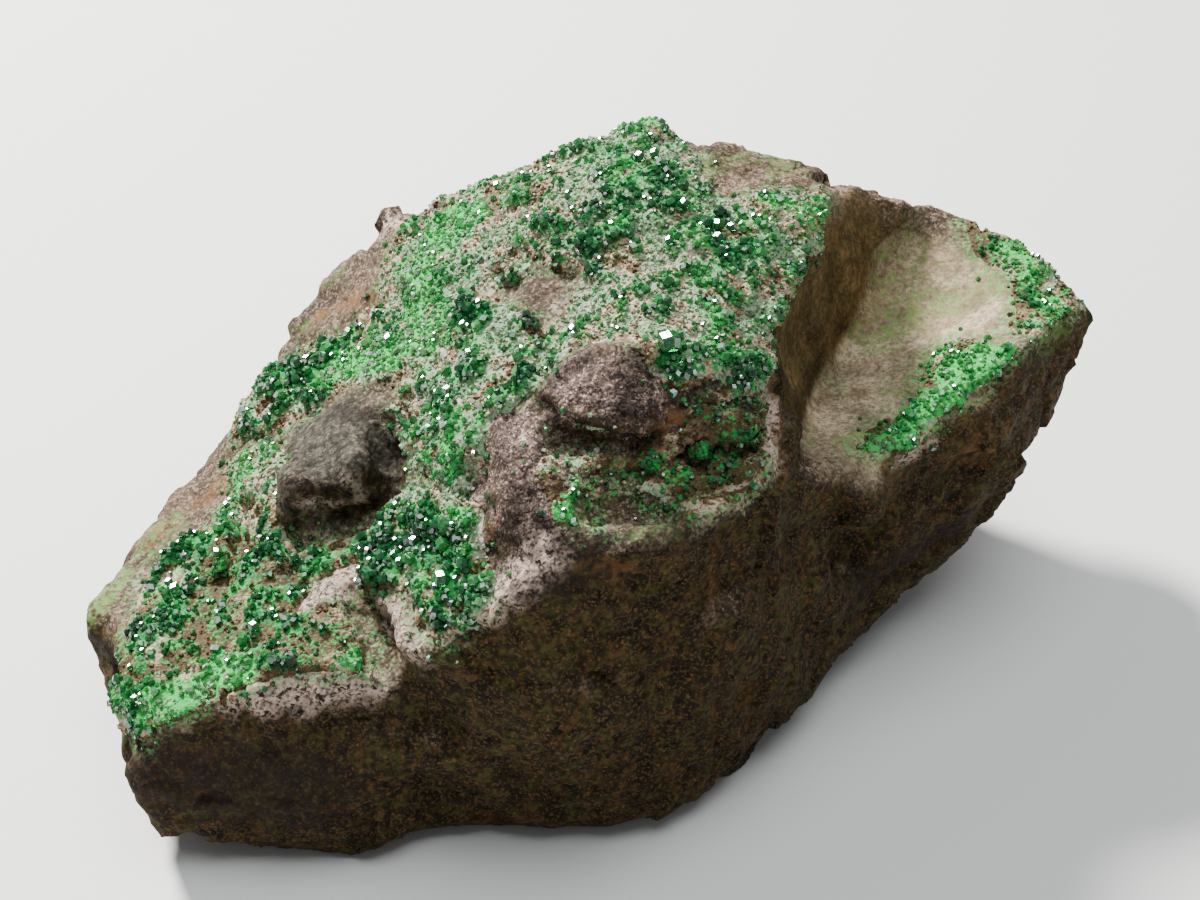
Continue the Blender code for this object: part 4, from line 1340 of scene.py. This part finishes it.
class Druse:
    """The patch of ground of one crust, and the crystals chosen for it so far."""

    def __init__(self, rock, node, settings, seen, seed):
        self.settings = settings
        self.draw = np.random.default_rng(seed)
        self.crystals = []
        self.sites = {}
        self.patch(rock, node, seen)

    def patch(self, rock, node, seen):
        """Lifts the rock's skin under the crust into a knobbly ground that sinks away at its edges."""
        solid = BVHTree.FromPolygons(
            [v.co / MM for v in NODES[node].data.vertices],
            [tuple(face.vertices) for face in NODES[node].data.polygons],
        )
        low, high = (np.array(corner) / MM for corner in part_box(node))
        places = places_of(rock.data)
        near = np.all((places > low - STRAY) & (places < high + STRAY), axis=1)
        away = np.full(len(places), 9.0)
        for index in np.flatnonzero(near):
            away[index] = solid.find_nearest(Vector(places[index]), STRAY)[3] or 9.0
        triangles = triangles_of(rock.data)
        skin = triangles[(away[triangles] < STRAY).all(axis=1)]
        used = np.unique(skin)
        renamed = np.zeros(len(places), int)
        renamed[used] = np.arange(len(used))
        self.faces = renamed[skin]
        self.ground = places[used]
        self.up = normals_of(rock.data)[used]
        away = away[used]
        wobble = 0.5 * sampled(noise.noise, self.ground, 0.8)
        knots, lush, gaps = (marked(self.ground, marks, 0.6 * wobble) for marks in seen)
        self.bare = np.maximum(marked(self.ground, BARE_MARKS, wobble), 0.95 * gaps) * (1.0 - 0.8 * knots)
        self.bright = np.maximum(marked(self.ground, BRIGHT_MARKS, wobble), lush) * (1.0 - 0.7 * knots)
        self.deep = marked(self.ground, DEEP_MARKS, wobble)
        self.fine = marked(self.ground, FINE_MARKS, wobble)
        self.coarse = marked(self.ground, COARSE_MARKS, wobble)
        self.earthy = marked(self.ground, EARTHY_MARKS, wobble)
        clump = 0.345 + 0.50 * sampled(noise.noise, self.ground + 23.0, 1.5)
        clump += 0.30 * sampled(noise.noise, self.ground + 5.0, 0.7)
        clump += 0.14 * self.deep + 0.10 * np.minimum(self.earthy, 0.6) + 0.50 * knots
        self.knots = knots
        edge = 1.0 - smooth_rise(away + 0.35 * wobble, 0.45, 1.25)
        self.cover = edge * (1.0 - self.bare)
        self.clump = np.clip(clump + 0.20 * self.coarse, 0.0, 1.0) * self.cover
        self.stray = (1.0 - smooth_rise(away + 0.8 * wobble, 1.0, STRAY)) * (1.0 - self.bare)
        thickness = self.settings.thickness / MM
        knobs = self.clump * (1.0 - 0.7 * self.fine)
        self.lift = thickness * (0.22 * self.cover + 0.78 * knobs) - 0.16
        self.lift = np.where(away < 1.5, self.lift, -0.2)
        self.top = self.ground + self.up * self.lift[:, None]
        self.inside = away < 1.45
        rich = 0.55 * self.bright + 0.20 * self.coarse + 0.20 * self.deep + 0.10 * self.earthy
        self.green = np.clip((0.85 * self.clump + rich) * self.cover, 0.0, 1.0)
        shade = 0.55 + 0.45 * sampled(noise.noise, self.ground + 77.0, 0.9)
        shade += 0.55 * sampled(noise.noise, self.ground + 41.0, 2.8)
        self.shade = shade - 0.50 * np.minimum(1.3 * self.earthy, 1.0) - 0.36 * self.bare

    def grow(self, model, width, spread, per_mm2, weight, sink, milky=False, lighter=0.0):
        """Adds crystals of about one width where the weight is high, clear of those already there."""
        rests = self.ground + self.up * np.maximum(self.lift, 0.0)[:, None]
        corners = rests[self.faces]
        across = np.cross(corners[:, 1] - corners[:, 0], corners[:, 2] - corners[:, 0])
        weights = np.linalg.norm(across, axis=1) / 2.0 * weight[self.faces].mean(axis=1)
        count = int(per_mm2 * weights.sum())
        if count == 0:
            return
        picks = self.draw.choice(len(weights), size=count, p=weights / weights.sum())
        a, b = self.draw.random((2, count))
        flip = a + b > 1.0
        a, b = np.where(flip, 1.0 - a, a), np.where(flip, 1.0 - b, b)
        share = np.stack([1.0 - a - b, a, b], 1)
        places = (corners[picks] * share[:, :, None]).sum(axis=1)
        ups = (self.up[self.faces[picks]] * share[:, :, None]).sum(axis=1)
        tones = (self.tone()[self.faces[picks]] * share).sum(axis=1) + self.draw.normal(lighter, 0.11, count)
        shades = (self.shade[self.faces[picks]] * share).sum(axis=1) + self.draw.normal(0.0, 0.10, count)
        greens = (self.green[self.faces[picks]] * share).sum(axis=1)
        widths = width / MM * self.draw.lognormal(0.0, spread, count)
        turns = random_turns(self.draw, count)
        for index in range(count):
            if self.free(places[index], widths[index]):
                centre = places[index] + ups[index] * widths[index] * (0.5 - sink)
                looks = (greens[index], tones[index], shades[index], milky)
                self.crystals.append((model, centre, widths[index], turns[index], looks))

    def tone(self):
        """Lightness of the crystals from 0 to 1: high on bright marks and low on deep ones."""
        waves = 0.20 * sampled(noise.noise, self.ground + 57.0, 3.0)
        waves += 0.30 * sampled(noise.noise, self.ground + 61.0, 1.2)
        waves += 0.5 * self.bright - 0.20 * self.deep - 0.22 * self.knots
        waves -= 0.06 * np.minimum(self.earthy, 1.0)
        return np.clip(0.45 + waves, 0.0, 1.0)

    def free(self, place, width):
        """Whether a crystal here would stay out of those there already. If so, its site is kept."""
        key = tuple(np.floor(place / SITE).astype(int))
        for x in (-1, 0, 1):
            for y in (-1, 0, 1):
                for z in (-1, 0, 1):
                    for other, reach in self.sites.get((key[0] + x, key[1] + y, key[2] + z), ()):
                        if math.dist(place, other) < 0.29 * (reach + width):
                            return False
        self.sites.setdefault(key, []).append((tuple(place), width))
        return True

    def set_mirrors(self, mirrors, glints, aims):
        """Sets the named crystals and some small ones, each with a face turned to glint at the camera."""
        tree = BVHTree.FromPolygons([Vector(place) for place in self.top], self.faces.tolist())
        likely = self.clump**3
        extra = self.draw.choice(len(likely), size=glints, p=likely / likely.sum())
        small = [(place, self.draw.uniform(0.36, 0.56)) for place in self.top[extra]]
        for place, width in (*mirrors, *small):
            seat, up = tree.find_nearest(Vector(place))[:2]
            half = sum(((aim / MM - seat).normalized() for aim in aims), Vector()).normalized()
            turn = FACE_OUT.rotation_difference(half).to_matrix()
            spin = Matrix.Rotation(math.radians(37.0 * len(self.crystals)), 3, half)
            self.free(np.array(seat), width)
            centre = np.array(seat + up * width * 0.30)
            looks = (1.0, 0.4, 0.5, False)
            self.crystals.append(("bevelled", centre, width, np.array(spin @ turn), looks))

    def build(self, name, models, finishes):
        """Joins the ground and all crystals in one mesh."""
        ground = self.closed_ground(name + "_ground")
        places = [places_of(ground)]
        faces = [tuple(face.vertices) for face in ground.polygons]
        numbers = {key: [read_numbers(ground, key)] for key in ("green", "tone", "shade")}
        ground_faces = len(faces)
        is_clear = [np.zeros(ground_faces, bool)]
        first = len(places[0])
        for model, centre, width, turn, (green, tone, shade, milky) in self.crystals:
            shape, sides = models[model]
            places.append(centre + (shape * width) @ turn.T)
            faces.extend(tuple(first + corner for corner in side) for side in sides)
            numbers["green"].append(np.full(len(shape), green))
            numbers["tone"].append(np.full(len(shape), tone))
            numbers["shade"].append(np.full(len(shape), shade))
            is_clear.append(np.full(len(sides), not milky))
            first += len(shape)
        mesh = bpy.data.meshes.new(name)
        mesh.from_pydata(np.concatenate(places) * MM, [], faces)
        for key, values in numbers.items():
            put_numbers(mesh, key, np.clip(np.concatenate(values), 0.0, 1.0))
        for finish in finishes:
            mesh.materials.append(finish)
        mesh.polygons.foreach_set("material_index", np.concatenate(is_clear).astype(np.int32))
        mesh.polygons.foreach_set("use_smooth", np.arange(len(faces)) < ground_faces)
        bpy.data.meshes.remove(ground)
        return new_piece(name, mesh)

    def closed_ground(self, name):
        """The ground as a closed slab that reaches down into the rock."""
        mesh = bpy.data.meshes.new(name)
        kept = self.faces[self.inside[self.faces].all(axis=1)]
        mesh.from_pydata(self.top * MM, [], kept.tolist())
        put_numbers(mesh, "green", self.green)
        put_numbers(mesh, "tone", self.tone())
        put_numbers(mesh, "shade", self.shade)
        slab = new_piece(name, mesh)
        only(slab)
        bpy.ops.object.mode_set(mode="EDIT")
        bpy.ops.mesh.select_all(action="SELECT")
        bpy.ops.mesh.delete_loose(use_verts=True, use_edges=True, use_faces=False)
        bpy.ops.object.mode_set(mode="OBJECT")
        add_modifier(slab, "SOLIDIFY", thickness=0.9 * MM, offset=-1.0)
        bpy.data.objects.remove(slab)
        return mesh


def crystal_finish(settings):
    """Glassy garnet: each crystal has its own depth of green, and the lightest are dulled by dust."""
    made = Finish("emerald_garnet")
    tone = made.attribute("tone")
    stops = (
        (0.05, settings.deep),
        (0.40, settings.emerald),
        (0.66, settings.bright),
        (0.82, settings.light),
        (1.0, settings.haze),
    )
    cloudy = made.cloud(0.25, 2.0)
    return made.surface(
        colour=made.ramp(tone + 0.25 * (cloudy - 0.5), stops),
        roughness=made.between(cloudy, 0.4, 0.7, settings.roughness, settings.roughness + 0.2),
        index=settings.index,
        clearness=settings.clearness,
    )


def ground_finish(settings, rock):
    """The druse's ground: pale grains, grey-green veil and green crystal dust."""
    made = Finish("drusy_ground")
    shade = made.attribute("shade")
    grains = made.first(made.cells(0.24, "Color"))
    specks = made.first(made.cells(0.15, "Color"))
    mixed = 0.6 * grains + 0.4 * specks
    fine = made.cloud(0.5, 4.0)
    stops = (
        (0.08, settings.earth),
        (0.24, settings.tan),
        (0.38, settings.cream),
        (0.52, settings.veil),
        (0.76, settings.haze),
        (0.90, settings.veil),
    )
    pale = made.ramp(shade + 0.26 * (mixed - 0.5) + 0.35 * (fine - 0.5), stops)
    pale = made.shade(pale, specks, 0.0, 1.0, 0.72, 1.20)
    pale = made.mix(made.between(mixed, 0.24, 0.12) * 0.6, pale, rock.dark)
    stops = ((0.05, settings.deep), (0.42, settings.emerald), (0.72, settings.bright), (1.0, settings.light))
    green = made.ramp(made.attribute("tone") + 0.60 * (mixed - 0.5), stops)
    dusted = made.between(made.attribute("green") + 0.6 * (fine - 0.5) + 0.6 * (mixed - 0.5), 0.44, 0.54)
    colour = made.mix(dusted * 0.95, pale, green)
    relief = made.bump(made.cells(0.28) * -1.0 + made.cells(0.16) * -0.4, 0.10)
    return made.surface(colour=colour, roughness=0.7, normal=relief, specular=0.15)


class GARNET_OT_rock(bpy.types.Operator):
    """Sculpts the broken chromite rock over its solid"""

    bl_idname = "garnet.rock"
    bl_label = "Build the rock"

    def execute(self, context):
        settings = context.scene.garnet_rock
        rock = solid_copy("matrix_rock", "chromite_rock")
        add_modifier(rock, "REMESH", mode="VOXEL", voxel_size=settings.step)
        add_modifier(rock, "SMOOTH", factor=0.5, iterations=3)
        sculpt(rock)
        add_modifier(rock, "REMESH", mode="VOXEL", voxel_size=settings.step)
        add_modifier(rock, "SMOOTH", factor=0.5, iterations=1)
        break_surface(rock, settings)
        rock.data.shade_smooth()
        places = places_of(rock.data)
        regions = rock_regions(places, broad_normals(rock.data, 24))
        spared = (1.0 - regions["mound"]) * (1.0 - 0.8 * regions["chromite"])
        spared *= 1.0 - 0.8 * regions.pop("bare")
        regions["dust"] = crust_nearness(places) * spared
        for name, values in regions.items():
            put_numbers(rock.data, name, values)
        rock.data.materials.append(rock_finish(settings, context.scene.garnet_druse))
        finish_piece(rock, "rock", "matrix_rock")
        return {"FINISHED"}


class GARNET_OT_druses(bpy.types.Operator):
    """Grows a druse of garnet crystals in place of each crust"""

    bl_idname = "garnet.druses"
    bl_label = "Grow the druses"

    def execute(self, context):
        settings = context.scene.garnet_druse
        rock = bpy.data.objects["chromite_rock"]
        models = {
            "plain": garnet_model("garnet_plain", 0.0),
            "bevelled": garnet_model("garnet_bevelled", BEVEL),
            "grain": grain_model("garnet_grain"),
        }
        finishes = (ground_finish(settings, context.scene.garnet_rock), crystal_finish(settings))
        stage = context.scene.garnet_stage
        aims = (AIM + camera_direction(stage) * stage.distance, KEY_PLACE)
        seen = (seen_marks(KNOTS), seen_marks(LUSH), seen_marks(GAPS))
        for seed, (name, node) in enumerate(CRUSTS.items(), start=1):
            druse = Druse(rock, node, settings, seen, seed)
            druse.set_mirrors(MIRROR_CRYSTALS.get(name, ()), GLINTS.get(name, 0), aims)
            clump = smooth_rise(druse.clump, 0.42, 0.62)
            open_ground = druse.cover * (1.0 - 0.75 * clump)
            coarse = clump * druse.coarse * smooth_rise(druse.cover, 0.75, 0.95)
            medium = clump * (1.0 - 0.92 * druse.fine)
            small = np.clip(0.04 * druse.cover + clump, 0.0, 1.0) * (0.5 + 0.5 * druse.fine)
            small += 0.3 * druse.bright * druse.cover
            edge = druse.stray * (1.0 - druse.cover) * (1.0 - 0.6 * druse.fine)
            druse.grow("bevelled", settings.large, spread=0.12, per_mm2=0.30, weight=coarse, sink=0.28)
            druse.grow("plain", settings.medium, spread=0.24, per_mm2=5.6, weight=medium, sink=0.32)
            druse.grow("plain", settings.small, spread=0.22, per_mm2=11.0, weight=small, sink=0.30)
            clear = open_ground * (1.0 - 0.85 * np.minimum(1.4 * druse.earthy, 1.0))
            druse.grow(
                "plain", settings.small, spread=0.22, per_mm2=0.8, weight=clear, sink=0.34, lighter=0.4
            )
            druse.grow(
                "grain", settings.grain, spread=0.25, per_mm2=14.0, weight=clear, sink=0.46, milky=True
            )
            druse.grow("plain", settings.small, spread=0.25, per_mm2=0.8, weight=edge, sink=0.38)
            piece = druse.build(name, models, finishes)
            finish_piece(piece, "garnet", node)
        return {"FINISHED"}


def camera_direction(settings):
    """From the specimen towards the camera."""
    return Vector((0.0, -math.cos(settings.elevation), math.sin(settings.elevation)))


class GARNET_OT_stage(bpy.types.Operator):
    """Sets up the camera, the floor and the studio light"""

    bl_idname = "garnet.stage"
    bl_label = "Set the stage"

    def execute(self, context):
        settings = context.scene.garnet_stage
        back = camera_direction(settings)
        camera = bpy.data.cameras.new("camera")
        camera.lens = settings.lens
        camera.sensor_width = SENSOR
        camera.clip_start = 0.005
        holder = bpy.data.objects.new("camera", camera)
        context.scene.collection.objects.link(holder)
        holder.location = AIM + back * settings.distance
        holder.rotation_euler = (-back).to_track_quat("-Z", "Y").to_euler()
        context.scene.camera = holder
        add_floor(settings.floor)
        add_light("key", KEY_PLACE, 0.10, settings.key, (1.0, 0.98, 0.95))
        add_light("overhead", (0.05, -0.05, 0.50), 0.40, 2.2, (0.94, 0.97, 1.0))
        world = bpy.data.worlds.new("studio")
        context.scene.world = world
        world.use_nodes = True
        background = world.node_tree.nodes["Background"]
        background.inputs["Color"].default_value = (0.93, 0.96, 1.0, 1.0)
        background.inputs["Strength"].default_value = settings.fill
        return {"FINISHED"}


def add_floor(colour):
    bpy.ops.object.select_all(action="DESELECT")
    bpy.ops.mesh.primitive_plane_add(size=4.0)
    floor = bpy.context.object
    floor.name = "floor"
    made = Finish("plain_floor")
    floor.data.materials.append(made.surface(colour=colour, roughness=0.7))


def add_light(name, place, size, power, colour):
    light = bpy.data.lights.new(name, "AREA")
    light.shape = "DISK"
    light.size = size
    light.energy = power
    light.color = colour
    holder = bpy.data.objects.new(name, light)
    bpy.context.scene.collection.objects.link(holder)
    holder.location = place
    holder.rotation_euler = (-Vector(place)).to_track_quat("-Z", "Y").to_euler()


class GARNET_PT_panel(bpy.types.Panel):
    """Lists the steps that build the specimen and its stage"""

    bl_label = "Garnet cluster"
    bl_idname = "GARNET_PT_panel"
    bl_space_type = "VIEW_3D"
    bl_region_type = "UI"
    bl_category = "Garnet cluster"

    def draw(self, context):
        for operator in OPERATORS:
            self.layout.operator(operator.bl_idname)


OPERATORS = (GARNET_OT_rock, GARNET_OT_druses, GARNET_OT_stage)
SETTINGS = {
    "garnet_rock": RockSettings,
    "garnet_druse": GarnetSettings,
    "garnet_stage": StageSettings,
}


def register():
    for kind in (*SETTINGS.values(), *OPERATORS, GARNET_PT_panel):
        bpy.utils.register_class(kind)
    for name, kind in SETTINGS.items():
        setattr(bpy.types.Scene, name, PointerProperty(type=kind))


def unregister():
    for name in SETTINGS:
        delattr(bpy.types.Scene, name)
    for kind in (GARNET_PT_panel, *OPERATORS, *SETTINGS.values()):
        bpy.utils.unregister_class(kind)


def main():
    register()
    bpy.ops.garnet.rock()
    bpy.ops.garnet.druses()
    bpy.ops.garnet.stage()


if __name__ == "__main__":
    main()
